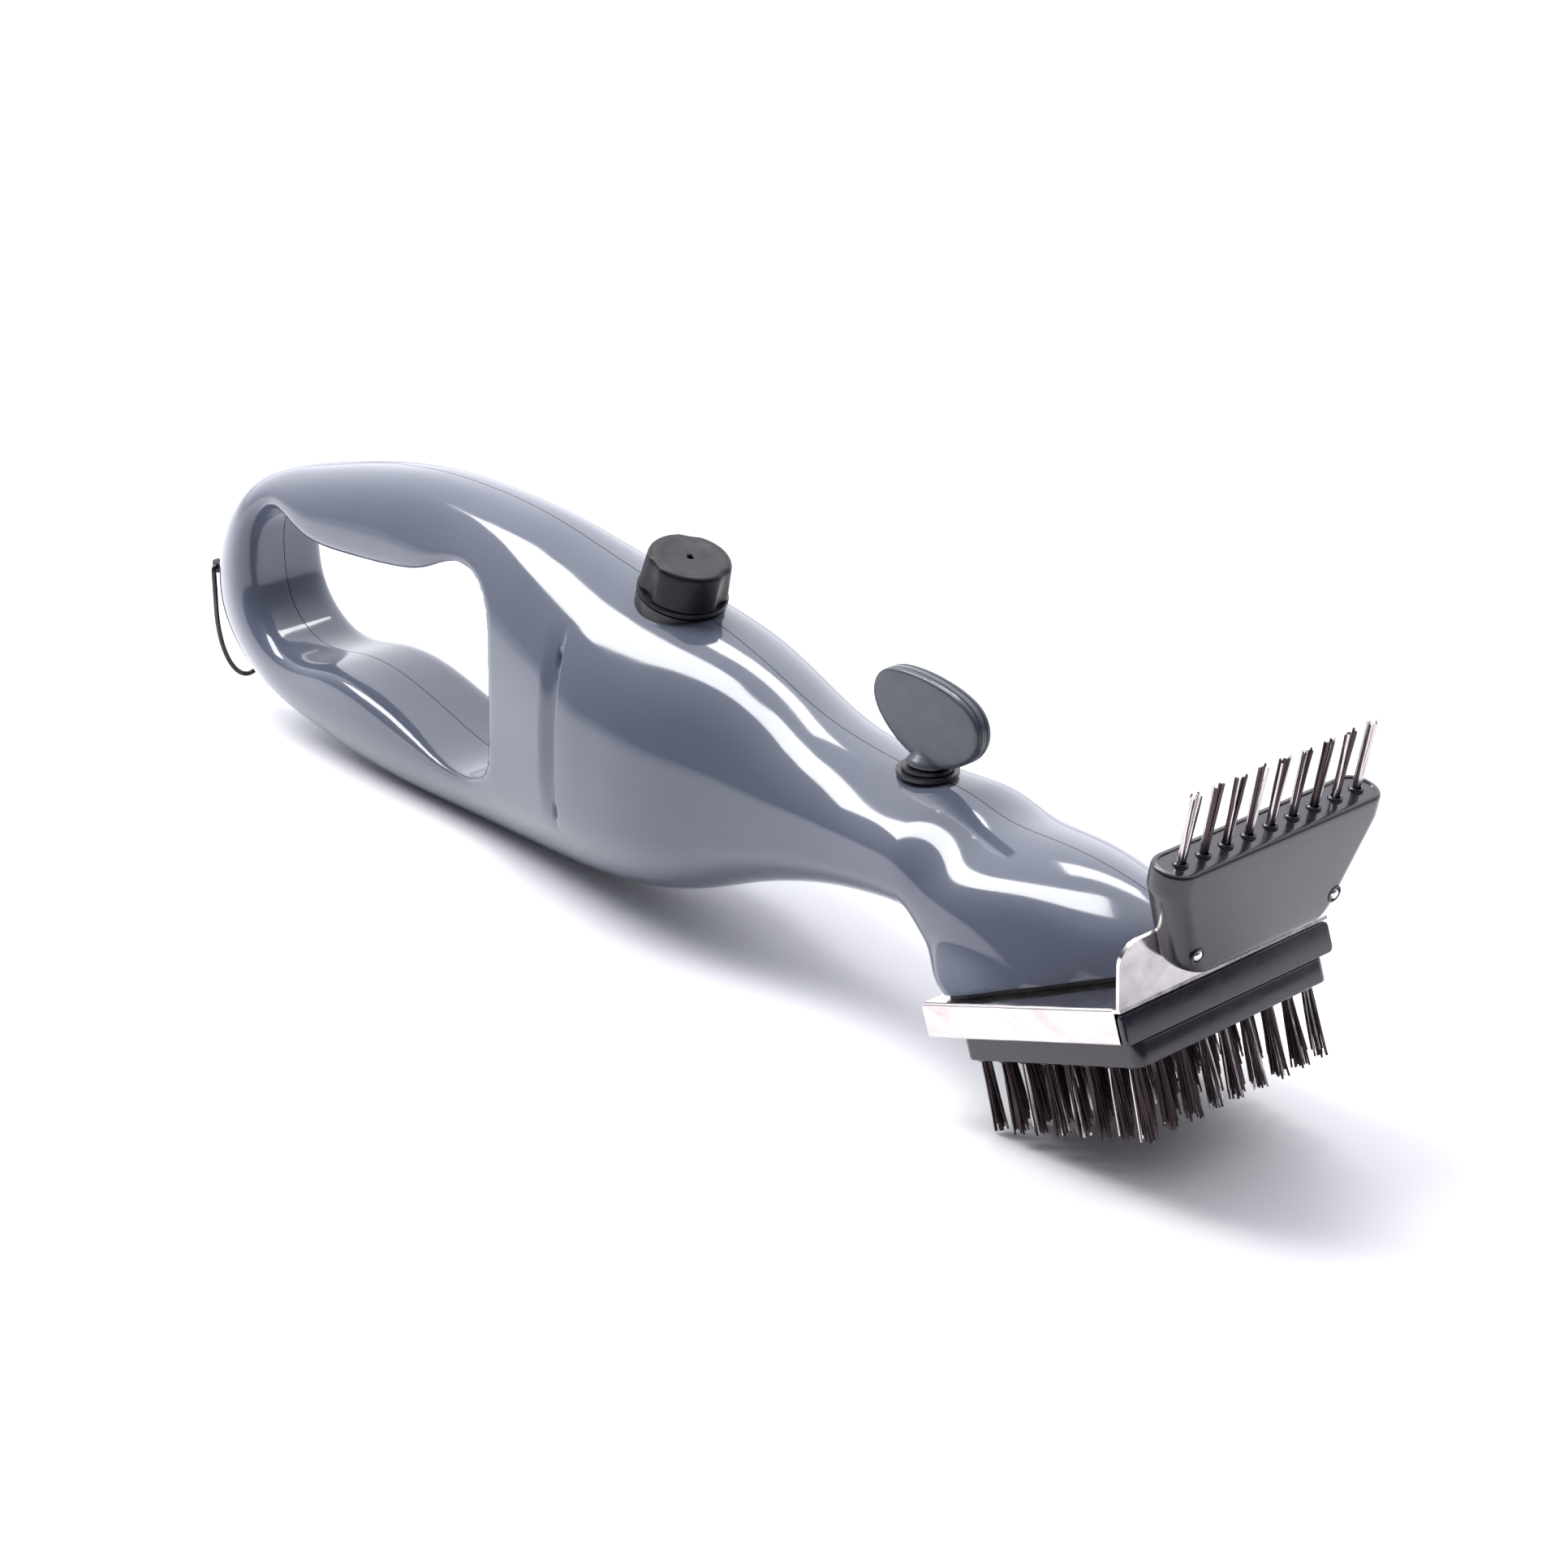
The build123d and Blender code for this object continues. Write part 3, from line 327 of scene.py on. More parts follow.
def merge(shapes):
    """One list of points and faces from several."""
    points, faces = [], []
    for shape_points, shape_faces in shapes:
        start = len(points)
        points += [tuple(point) for point in shape_points]
        faces += [tuple(start + index for index in face) for face in shape_faces]
    return points, faces


class Axes:
    """A local frame: an origin and three unit directions, in millimetres."""

    def __init__(self, origin, along, across, up):
        self.origin = np.array(origin, float)
        self.directions = np.array([along, across, up], float)

    def place(self, points):
        """Points of this frame in the frame of the model."""
        return self.origin + np.asarray(points, float) @ self.directions


CAP_LEAN = math.radians(17.0)
CAP_AXES = Axes(
    (1.0, 0, 91.2),
    (math.cos(CAP_LEAN), 0, -math.sin(CAP_LEAN)),
    (0, 1, 0),
    (math.sin(CAP_LEAN), 0, math.cos(CAP_LEAN)),
)
BORE_RADIUS = 9.0
BORE_DEPTH = 24.0


# ---- handle
# Stations: x, underside z, top z, half width, squareness of the section
STATIONS = (
    (-211.6, 32.0, 51.0, 4.5, 2.0),
    (-208.6, 24.5, 58.5, 8.3, 2.1),
    (-202.1, 18.5, 67.0, 12.5, 2.2),
    (-189.1, 12.0, 78.0, 16.5, 2.5),
    (-160.6, 5.0, 89.0, 19.0, 2.7),
    (-128.6, 0.9, 96.8, 20.0, 2.7),
    (-102.6, 0.0, 100.7, 21.0, 2.6),
    (-78.6, 0.2, 101.5, 23.0, 2.4),
    (-54.6, 0.8, 100.0, 26.5, 2.25),
    (-26.6, 2.4, 95.0, 31.0, 2.15),
    (0.4, 6.2, 90.0, 33.5, 2.1),
    (19.4, 12.0, 86.0, 32.0, 2.1),
    (36.4, 19.3, 80.6, 28.0, 2.1),
    (54.4, 26.0, 74.0, 24.5, 2.1),
    (71.4, 30.8, 70.3, 23.0, 2.1),
    (88.9, 34.3, 68.6, 23.3, 2.1),
)
FAN_X = 106.5
FAN_Z = 22.6
# Past the neck: angle above +X, nearest and farthest reach, half width, share of the foot's shape
FAN_STATIONS = (
    (90.0, 13.4, 45.8, 24.8, 0.0),
    (65.0, 12.6, 46.6, 27.0, 0.15),
    (45.0, 15.1, 59.5, 30.0, 0.4),
    (30.0, 19.7, 76.5, 33.0, 0.75),
    (24.0, 23.0, 83.8, 34.2, 0.9),
    (19.1, 27.0, 87.0, 35.0, 1.0),
)
FAN_SQUARENESS = 2.1
FAN_RATE = 0.7                 # millimetres of station length for each degree of fan
REAR_END_X = -212.4
SECTION_ANGLES = (0, 20, 45, 70, 95, 115, 131, 142, 160, 180)
FOOT_REACH = (1.0, 0.873, 0.735, 0.676, 0.765, 0.975, 1.305, 1.27, 1.065, 1.0)
GRIP_HOLE = (
    (-184.6, 55), (-181.6, 68), (-172.6, 74), (-154.6, 71.5), (-128.6, 71.5), (-104.6, 74.5),
    (-89.6, 79), (-77.6, 84), (-66.6, 84), (-57.6, 77.5), (-52.6, 62), (-52.6, 44), (-58.1, 28.5),
    (-67.6, 22), (-80.6, 19.8), (-100.6, 24.3), (-116.6, 29), (-131.6, 32), (-144.6, 32),
    (-156.6, 30), (-169.6, 30.5), (-180.6, 38),
)
PLATE_TILT = math.radians(19.1)
FOOT_NORMAL = np.array([math.sin(PLATE_TILT), 0, -math.cos(PLATE_TILT)])
FOOT_LAND = 2.5                # width of the flat rim under the foot
GRIP_ROUNDING = (13.0, 5.0)    # blend width behind and at the front of the grip hole
ROUNDING_CHANGE = (-112.0, -80.0)
CELL = 1.3                     # mesh cell
SEAM = 0.12                    # half width of the parting line
SEAM_DEPTH = 0.5

# Flute on each flank: an upright crescent behind the swelling of the belly
FLUTE_X = -20.5
FLUTE_Z = 52.5
FLUTE_HALF_HEIGHT = 30.0
FLUTE_BOW = 5.0
FLUTE_WIDTH = 8.5
FLUTE_DEPTH = 2.0
SWELL = 0.5
SWELL_LENGTH = 18.0
PIT_HEIGHTS = (-23.0, 21.0)
PIT_SIZE = (0.7, 2.2)
PIT_DEPTH = 1.5


class Spline:
    """Natural or periodic cubic spline through knots, for numpy arrays."""

    def __init__(self, knots, values, periodic=False):
        self.knots = np.array(knots, float)
        self.values = np.array(values, float)
        count = len(knots)
        gap = np.diff(self.knots)
        slope = np.diff(self.values) / gap
        system = np.eye(count)
        right = np.zeros(count)
        for i in range(1, count - 1):
            system[i, i - 1:i + 2] = gap[i - 1], 2 * (gap[i - 1] + gap[i]), gap[i]
            right[i] = 6 * (slope[i] - slope[i - 1])
        if periodic:
            system[0, 0], system[0, -1] = 1, -1
            system[-1, :] = 0
            system[-1, 0], system[-1, 1] = 2 * gap[0], gap[0]
            system[-1, -1], system[-1, -2] = 2 * gap[-1], gap[-1]
            right[-1] = 6 * (slope[0] - slope[-1])
        self.bends = np.linalg.solve(system, right)

    def __call__(self, at):
        at = np.clip(at, self.knots[0], self.knots[-1])
        i = np.clip(np.searchsorted(self.knots, at) - 1, 0, len(self.knots) - 2)
        gap = self.knots[i + 1] - self.knots[i]
        a = (self.knots[i + 1] - at) / gap
        b = 1 - a
        curve = ((a**3 - a) * self.bends[i] + (b**3 - b) * self.bends[i + 1]) * gap**2 / 6
        return a * self.values[i] + b * self.values[i + 1] + curve


def station_splines():
    """Middle, reach, half width, squareness and foot share along the handle."""
    rows = []
    for x, low, high, half_width, squareness in STATIONS:
        middle = (low + high) / 2 - FAN_Z
        rows.append((x, middle, (high - low) / 2, half_width, squareness, 0.0))
    rows.insert(0, (REAR_END_X, rows[0][1], 0.0, 0.0, 2.0, 0.0))
    for angle, near, far, half_width, share in FAN_STATIONS:
        s = FAN_X + (90 - angle) * FAN_RATE
        rows.append((s, (near + far) / 2, (far - near) / 2, half_width, FAN_SQUARENESS, share))
    table = np.array(rows)
    knots = table[:, 0]
    return {
        "middle": Spline(knots, table[:, 1]),
        "reach_squared": Spline(knots, table[:, 2] ** 2),
        "width_squared": Spline(knots, table[:, 3] ** 2),
        "squareness": Spline(knots, table[:, 4]),
        "share": Spline(knots, table[:, 5]),
    }


def foot_spline():
    """The foot's reach against the angle, level at both ends as its mirror image needs."""
    angles = [-20.0, *SECTION_ANGLES, 200.0]
    reach = [FOOT_REACH[1], *FOOT_REACH, FOOT_REACH[-2]]
    return Spline(angles, reach)


def hole_field():
    """Distance to the grip hole's outline on a grid in x and z: positive inside the hole."""
    outline = np.array(GRIP_HOLE + GRIP_HOLE[:1])
    steps = np.hypot(*np.diff(outline, axis=0).T)
    knots = np.concatenate([[0], np.cumsum(steps)])
    at = np.linspace(0, knots[-1], 701)
    loop = np.stack([Spline(knots, outline[:, k], periodic=True)(at) for k in (0, 1)], axis=1)
    start, run = loop[:-1], np.diff(loop, axis=0)
    grid_x = np.arange(-216.0, -24.0, 0.8)
    grid_z = np.arange(-8.0, 112.0, 0.8)
    field = np.empty((len(grid_x), len(grid_z)))
    for i, x in enumerate(grid_x):
        dx = x - start[:, 0][None, :]
        dz = grid_z[:, None] - start[:, 1][None, :]
        share = np.clip((dx * run[:, 0] + dz * run[:, 1]) / (run**2).sum(axis=1), 0, 1)
        gap = np.hypot(dx - share * run[:, 0], dz - share * run[:, 1]).min(axis=1)
        above = (start[:, 1] > grid_z[:, None]) != (loop[1:, 1] > grid_z[:, None])
        with np.errstate(divide="ignore", invalid="ignore"):
            cross_x = start[:, 0] + (grid_z[:, None] - start[:, 1]) * run[:, 0] / run[:, 1]
        inside = (above & (x < cross_x)).sum(axis=1) % 2 == 1
        field[i] = np.where(inside, gap, -gap)
    return grid_x, grid_z, field


def bspline_weights(t):
    """Cubic B-spline weights of the four grid points round a place."""
    return (
        (1 - t) ** 3 / 6,
        (3 * t**3 - 6 * t**2 + 4) / 6,
        (-3 * t**3 + 3 * t**2 + 3 * t + 1) / 6,
        t**3 / 6,
    )


SPLINES = station_splines()
FOOT = foot_spline()
HOLE_X, HOLE_Z, HOLE_FIELD = hole_field()


def hole_distance(x, z):
    """Smooth distance to the grip hole's outline; far ahead of the hole it is well outside."""
    step = HOLE_X[1] - HOLE_X[0]
    u = np.clip((x - HOLE_X[0]) / step, 1, len(HOLE_X) - 3.001)
    v = np.clip((z - HOLE_Z[0]) / step, 1, len(HOLE_Z) - 3.001)
    i, j = u.astype(int), v.astype(int)
    total = 0
    for di, weight_x in enumerate(bspline_weights(u - i)):
        for dj, weight_z in enumerate(bspline_weights(v - j)):
            total = total + weight_x * weight_z * HOLE_FIELD[i + di - 1, j + dj - 1]
    return total - np.maximum(x - HOLE_X[-3], 0)


def ease(value, low, high):
    """Smooth step from 0 at low to 1 at high."""
    t = np.clip((value - low) / (high - low), 0, 1)
    return t * t * (3 - 2 * t)


def smooth_max(a, b, width):
    """The greater of two distances, blended where they differ by less than a width."""
    h = np.maximum(width - np.abs(a - b), 0) / width
    return np.maximum(a, b) + h**3 * width / 6


def flank_relief(x, z):
    """How far the flank is cut in by the flute and its pits, less the swelling ahead of it."""
    height = (z - FLUTE_Z) / FLUTE_HALF_HEIGHT
    envelope = np.clip(1 - height**2, 0, 1) ** 1.2
    ahead = x - (FLUTE_X + FLUTE_BOW * (1 - height**2))
    cut = ease(ahead, -FLUTE_WIDTH, -1.0) * (1 - ease(ahead, -0.7, 0.9))
    swelling = ease(ahead, -0.7, 1.2) * (1 - ease(ahead, 2.0, SWELL_LENGTH))
    relief = envelope * (FLUTE_DEPTH * cut - SWELL * swelling)
    for pit in PIT_HEIGHTS:
        reach = ((ahead + 1.6) / PIT_SIZE[0]) ** 2 + ((z - FLUTE_Z - pit) / PIT_SIZE[1]) ** 2
        relief = relief + PIT_DEPTH * np.exp(-reach)
    return relief


def filler_bore(points):
    """Distance to the bore under the filler neck, below zero inside it."""
    offset = points - CAP_AXES.origin
    height = offset @ CAP_AXES.directions[2]
    radius = np.sqrt(np.maximum((offset**2).sum(axis=-1) - height**2, 0))
    return np.maximum(radius - BORE_RADIUS, -BORE_DEPTH - height)


def handle_field(points):
    """Signed measure of the handle's surface: below zero inside, in millimetres near it."""
    x, y, z = points[..., 0], points[..., 1], points[..., 2]
    fan = x > FAN_X
    angle = np.degrees(np.arctan2(z - FAN_Z, np.maximum(x - FAN_X, 1e-6)))
    angle = np.clip(angle, FAN_STATIONS[-1][0], 90)
    s = np.where(fan, FAN_X + (90 - angle) * FAN_RATE, x)
    radial = np.where(fan, np.hypot(x - FAN_X, z - FAN_Z), z - FAN_Z)
    reach = np.sqrt(np.maximum(SPLINES["reach_squared"](s), 0.04))
    width = np.sqrt(np.maximum(SPLINES["width_squared"](s), 0.04))
    along = radial - SPLINES["middle"](s)
    u, v = np.abs(y) / width, along / reach
    rho = np.sqrt(u**2 + v**2) + 1e-9
    squareness = SPLINES["squareness"](s)
    c, k = np.abs(v) / rho, u / rho
    oval = (c**squareness + k**squareness) ** (-1 / squareness)
    share = np.clip(SPLINES["share"](s), 0, 1)
    outline = (1 - share) * oval + share * FOOT(np.degrees(np.arctan2(u, v)))
    body = np.sqrt(y**2 + along**2) * (1 - outline / rho)
    body = np.hypot(np.maximum(body, 0), np.maximum(REAR_END_X - x, 0)) + np.minimum(body, 0)
    body = body + flank_relief(x, z) * ease(np.abs(y), 8, 16)
    blend = GRIP_ROUNDING[0] + (GRIP_ROUNDING[1] - GRIP_ROUNDING[0]) * ease(x, *ROUNDING_CHANGE)
    body = smooth_max(body, hole_distance(x, z), blend)
    return np.maximum(body, -filler_bore(points))


def field_slope(points, reach=0.25):
    """Gradient of the handle's field."""
    slope = np.empty_like(points)
    for axis in range(3):
        step = np.zeros(3)
        step[axis] = reach
        slope[:, axis] = (handle_field(points + step) - handle_field(points - step)) / (2 * reach)
    return slope


def foot_height(points):
    """Height of points past the foot's plane, above zero outside the handle."""
    return (points - (FAN_X, 0, FAN_Z)) @ FOOT_NORMAL


def settle(points, held=(), rounds=4):
    """Move points on to the handle's surface; held points stay in a plane: (which, its normal)."""
    for _ in range(rounds):
        slope = field_slope(points)
        for which, normal in held:
            slope[which] -= (slope[which] @ normal)[:, None] * normal
        length = np.maximum((slope**2).sum(axis=1), 0.05)
        move = (handle_field(points) / length)[:, None] * slope
        points = points - np.clip(move, -CELL, CELL)
    return points


def surface_net(field, origin):
    """Quad mesh where a sampled field changes sign."""
    shape = tuple(size - 1 for size in field.shape)
    total = np.zeros(shape + (3,))
    count = np.zeros(shape)
    for axis in range(3):
        others = [k for k in range(3) if k != axis]
        for first in (0, 1):
            for second in (0, 1):
                corner = [0, 0, 0]
                corner[others[0]], corner[others[1]] = first, second
                near = field[tuple(slice(c, c + n) for c, n in zip(corner, shape))]
                corner[axis] = 1
                far = field[tuple(slice(c, c + n) for c, n in zip(corner, shape))]
                crossing = (near < 0) != (far < 0)
                share = np.where(crossing, near / np.where(crossing, near - far, 1), 0)
                place = np.zeros(shape + (3,))
                place[..., others[0]], place[..., others[1]] = first, second
                place[..., axis] = share
                total += place * crossing[..., None]
                count += crossing
    active = count > 0
    number = np.full(shape, -1)
    number[active] = np.arange(active.sum())
    cells = np.argwhere(active)
    points = (cells + total[active] / count[active][:, None]) * CELL + origin
    faces = []
    for axis in range(3):
        b, c = (axis + 1) % 3, (axis + 2) % 3
        near = np.take(field, range(field.shape[axis] - 1), axis=axis)
        far = np.take(field, range(1, field.shape[axis]), axis=axis)
        edges = np.argwhere((near < 0) != (far < 0))
        inner = (edges[:, b] > 0) & (edges[:, c] > 0)
        inner &= (edges[:, b] < shape[b]) & (edges[:, c] < shape[c])
        edges = edges[inner]
        outward = near[tuple(edges.T)] < 0
        corners = []
        for back_b, back_c in ((1, 1), (0, 1), (0, 0), (1, 0)):
            cell = edges.copy()
            cell[:, b] -= back_b
            cell[:, c] -= back_c
            corners.append(number[tuple(cell.T)])
        quads = np.stack(corners, axis=1)
        quads[~outward] = quads[~outward][:, ::-1]
        faces.append(quads)
    return points, np.concatenate(faces)


def flank_region(point):
    """True near the flute, where the mesh is refined."""
    ahead = point[0] - FLUTE_X - FLUTE_BOW / 2
    return abs(ahead) < 11 and abs(point[2] - FLUTE_Z) < FLUTE_HALF_HEIGHT + 2 and point[1] > 12


def half_handle_mesh():
    """Left half of the handle: points, faces, and the rim edges that lie on the parting plane and on
    the foot.
    """
    low = np.array([REAR_END_X - 3 * CELL, SEAM - 2.5 * CELL, -4 * CELL])
    size = np.array([204.0, 42.0, 112.0]) - low
    counts = np.ceil(size / CELL).astype(int)
    grid = np.stack(np.meshgrid(*(np.arange(n) * CELL for n in counts), indexing="ij"), axis=-1)
    points, faces = surface_net(handle_field(grid + low), low)
    points = settle(points, rounds=2)
    near_seam = np.abs(points[:, 1] - SEAM) < 0.4 * CELL
    points[near_seam, 1] = SEAM
    gap = foot_height(points)
    near_foot = (np.abs(gap) < 0.4 * CELL) & (points[:, 0] > FAN_X)
    points[near_foot] -= gap[near_foot][:, None] * FOOT_NORMAL
    work = bmesh.new()
    vertices = [work.verts.new(point) for point in points]
    for quad in faces:
        work.faces.new([vertices[index] for index in quad])
    for centre, normal in (((0, SEAM, 0), (0, -1, 0)), ((FAN_X, 0, FAN_Z), FOOT_NORMAL)):
        bmesh.ops.bisect_plane(
            work, geom=work.verts[:] + work.edges[:] + work.faces[:], dist=1e-4,
            plane_co=centre, plane_no=normal, clear_outer=True,
        )
    for _ in range(2):
        chosen = [edge for edge in work.edges if all(flank_region(v.co) for v in edge.verts)]
        bmesh.ops.subdivide_edges(work, edges=chosen, cuts=1, use_grid_fill=True)
    work.verts.index_update()
    points = np.array([vertex.co for vertex in work.verts])
    on_seam = points[:, 1] < SEAM + 1e-3
    on_foot = (foot_height(points) > -1e-3) & (points[:, 0] > FAN_X)
    held = [(on_seam, np.array([0.0, 1.0, 0.0])), (on_foot, FOOT_NORMAL)]
    points = settle(points, held)
    faces = [tuple(v.index for v in face.verts) for face in work.faces]
    rim = [(edge.link_loops[0].vert.index, edge.link_loops[0].link_loop_next.vert.index)
           for edge in work.edges if len(edge.link_faces) == 1]
    work.free()
    seam_rim = [edge for edge in rim if on_seam[edge[0]] and on_seam[edge[1]]]
    foot_rim = [edge for edge in rim if on_foot[edge[0]] and on_foot[edge[1]]]
    return points, faces, seam_rim, foot_rim


def rim_strip(points, normals, rim, plane_normal, depth, start):
    """Strip of faces from a rim edge inward along its plane: the new points and the faces."""
    chosen = sorted({index for edge in rim for index in edge})
    flat = normals[chosen] - (normals[chosen] @ plane_normal)[:, None] * plane_normal
    flat /= np.linalg.norm(flat, axis=1)[:, None]
    below = {index: start + k for k, index in enumerate(chosen)}
    return points[chosen] - flat * depth, [(b, a, below[a], below[b]) for a, b in rim]


def handle_half(name, side, points, faces, seam_rim, foot_rim, materials):
    """One half of the handle with its parting groove; side is 1 for left, -1 for right."""
    slope = field_slope(points)
    normals = slope / np.linalg.norm(slope, axis=1)[:, None]
    groove, walls = rim_strip(points, normals, seam_rim, np.array([0.0, 1.0, 0.0]), SEAM_DEPTH,
                              len(points))
    groove[:, 1] = SEAM / 4
    land, underside = rim_strip(points, normals, foot_rim, FOOT_NORMAL, FOOT_LAND,
                                len(points) + len(groove))
    walls += underside
    every_point = np.concatenate([points, groove, land]) * (1, side, 1)
    every_face = faces + walls
    if side < 0:
        every_face = [face[::-1] for face in every_face]
    piece = make_piece(name, every_point, every_face, "handle", materials,
                       replaces=(name.replace("handle_skin", "handle_shell"),))
    mesh = piece.data
    index = np.array([[0] * len(faces) + [1] * len(walls)]).ravel()
    mesh.polygons.foreach_set("material_index", index)
    corner = np.empty(len(mesh.loops), int)
    mesh.loops.foreach_get("vertex_index", corner)
    skin_normals = np.concatenate([normals, np.zeros_like(groove), np.zeros_like(land)])
    skin_normals *= (1, side, 1)
    corner_normals = skin_normals[corner]
    for polygon in mesh.polygons[len(faces):]:
        corner_normals[list(polygon.loop_indices)] = polygon.normal
    mesh.normals_split_custom_set(corner_normals.tolist())
    return piece


def make_handle():
    """Both halves of the handle; the right one mirrors the left."""
    glossy = handle_plastic()
    seam = moulded_plastic("seam_shadow", (0.03, 0.033, 0.04), (0.045, 0.048, 0.058), (0.4, 0.6))
    halves = half_handle_mesh()
    handle_half("handle_skin_left", 1, *halves, [glossy, seam])
    handle_half("handle_skin_right", -1, *halves, [glossy, seam])


# ---- filler cap
CAP_RADIUS = 12.6
CAP_LOW = 0.35
CAP_TOP = 12.6
CAP_RING_TOP = 2.0
CAP_WALL = 12.2
CAP_TAPER = 0.07
SCALLOP_ANGLES = (-100.0, 20.0, 140.0)
SCALLOP_CENTRE = 19.0
SCALLOP_RADIUS = 8.0
CAP_VENT = 0.9
CAP_VENT_BOTTOM = 10.8
CAP_HOLLOW = 9.2
CAP_HOLLOW_TOP = 10.4
CAP_DISH = 0.16                # how far the middle of the top lies below its edge
CAP_POINTS = 240


def cap_wall_radius(angle, height):
    """Radius of the cap's scalloped wall, softly blended into each finger scallop."""
    radius = CAP_WALL - CAP_TAPER * (height - CAP_RING_TOP)
    for scallop in SCALLOP_ANGLES:
        turn = (angle - math.radians(scallop) + math.pi) % (2 * math.pi) - math.pi
        inside = SCALLOP_RADIUS**2 - (SCALLOP_CENTRE * math.sin(turn)) ** 2
        if inside > 0 and abs(turn) < math.pi / 2:
            edge = SCALLOP_CENTRE * math.cos(turn) - math.sqrt(inside)
            blend = max(1.2 - abs(radius - edge), 0) / 1.2
            radius = min(radius, edge) - blend**3 * 0.2
    return radius


def make_cap(material):
    """Filler cap: hollow below, a thin ring, the scalloped wall, and a dished top with its vent."""
    angles = [2 * math.pi * k / CAP_POINTS for k in range(CAP_POINTS)]
    profile = [(CAP_HOLLOW, CAP_HOLLOW_TOP), (CAP_HOLLOW, CAP_LOW + 0.3), (CAP_HOLLOW, CAP_LOW),
               (CAP_RADIUS - 0.3, CAP_LOW), (CAP_RADIUS, CAP_LOW + 0.3),
               (CAP_RADIUS, CAP_RING_TOP - 0.4), (CAP_RADIUS - 0.25, CAP_RING_TOP)]
    rings = [level_circle(radius, height, CAP_POINTS) for radius, height in profile]
    shoulder = CAP_TOP - 1.3
    for height, inset in ((CAP_RING_TOP, 0.25), (CAP_RING_TOP + 0.3, 0), (5.0, 0), (8.0, 0),
                          (10.0, 0), (shoulder, 0), (CAP_TOP - 0.75, 0.18),
                          (CAP_TOP - 0.35, 0.5), (CAP_TOP - 0.1, 0.95), (CAP_TOP, 1.5)):
        ring = []
        for a in angles:
            radius = cap_wall_radius(a, min(height, shoulder)) - inset
            ring.append((radius * math.cos(a), radius * math.sin(a), height))
        rings.append(ring)
    top_edge = rings[-1]
    for share, drop in ((0.82, 0.0), (0.78, 0.12), (0.5, CAP_DISH), (0.25, CAP_DISH)):
        rings.append([(x * share, y * share, CAP_TOP - drop) for x, y, _ in top_edge])
    for radius, height in ((CAP_VENT + 0.3, CAP_TOP - CAP_DISH), (CAP_VENT, CAP_TOP - 0.4),
                           (CAP_VENT, CAP_VENT_BOTTOM)):
        rings.append(level_circle(radius, height, CAP_POINTS))
    points, faces = stack_rings(rings)
    piece = make_piece("cap_skin", CAP_AXES.place(points), faces, "cap",
                       [material], replaces=("fill_cap",))
    sharpen(piece, 35)


# ---- valve paddle
VALVE_X = 94.9
KNOB_CORNERS = ((-10.4, 87.4, 7.3), (11.6, 84.4, 8.1), (1.2, 78.4, 5.6))
KNOB_BULGE = 2.6               # how full the outline is between its corner circles
KNOB_HALF = 2.7
KNOB_EDGE = 0.9                # width of the rounding between face and rim
KNOB_POINTS = 200
HUB_POINTS = 72
HUB_SHOULDER = 73.0            # above this height the hub is drawn in across the paddle


def knob_outline(inset):
    """Outline of the paddle drawn in by an inset: a full, convex curve round its corner circles."""
    ring = []
    for k in range(360):
        turn = 2 * math.pi * k / 360
        c, s = math.cos(turn), math.sin(turn)
        reach = [x * c + z * s + r for x, z, r in KNOB_CORNERS]
        weights = [math.exp((value - max(reach)) / KNOB_BULGE) for value in reach]
        total = sum(weights)
        furthest = max(reach) + KNOB_BULGE * math.log(total)
        x = sum(w * corner[0] for w, corner in zip(weights, KNOB_CORNERS)) / total
        z = sum(w * corner[1] for w, corner in zip(weights, KNOB_CORNERS)) / total
        radius = furthest - x * c - z * s - inset
        ring.append((VALVE_X + x + radius * c, z + radius * s))
    return ring


def spaced(ring, count):
    """The same closed outline with evenly spaced points."""
    loop = np.array(ring + ring[:1])
    length = np.concatenate([[0], np.cumsum(np.hypot(*np.diff(loop, axis=0).T))])
    at = np.linspace(0, length[-1], count, endpoint=False)
    return list(zip(np.interp(at, length, loop[:, 0]), np.interp(at, length, loop[:, 1])))


def make_knob(material):
    """Crowned paddle with a groove round its rim, and the hub that carries it."""
    edge = ((KNOB_EDGE, KNOB_HALF - 0.02), (0.5, KNOB_HALF - 0.14), (0.2, KNOB_HALF - 0.38),
            (0.04, KNOB_HALF - 0.75), (0.0, 1.35), (0.3, 1.15), (0.3, 0.95), (0.0, 0.75))
    face = ((0.03, 0.3), (0.35, 0.29), (0.6, 0.22), (0.8, 0.12), (0.95, 0.03))
    middle = np.mean(spaced(knob_outline(0), KNOB_POINTS), axis=0)
    rim = np.array(spaced(knob_outline(KNOB_EDGE), KNOB_POINTS))
    half = []
    for share, crown in face:
        half.append((middle + (rim - middle) * share, KNOB_HALF + crown))
    for inset, y in edge:
        half.append((spaced(knob_outline(inset), KNOB_POINTS), y))
    rings = [[(x, y, z) for x, z in ring] for ring, y in half]
    rings += [[(x, -y, z) for x, z in ring] for ring, y in reversed(half)]
    paddle = stack_rings(rings)
    hub_profile = ((5.0, 71.5), (5.4, 71.9), (5.4, 72.6), (4.9, 73.4), (4.1, 74.4), (3.4, 76.0),
                   (2.9, 78.5), (2.4, 80.5))
    hub = []
    for radius, height in hub_profile:
        squash = min(1.0, max(0.62, 1 - (height - HUB_SHOULDER) * 0.09))
        hub.append([(VALVE_X + 0.2 + 1.1 * x, squash * y, height)
                    for x, y in circle(radius, HUB_POINTS)])
    points, faces = merge([paddle, stack_rings(hub)])
    piece = make_piece("valve_paddle", points, faces, "valve", [material],
                       replaces=("valve_knob",))
    sharpen(piece, 42)


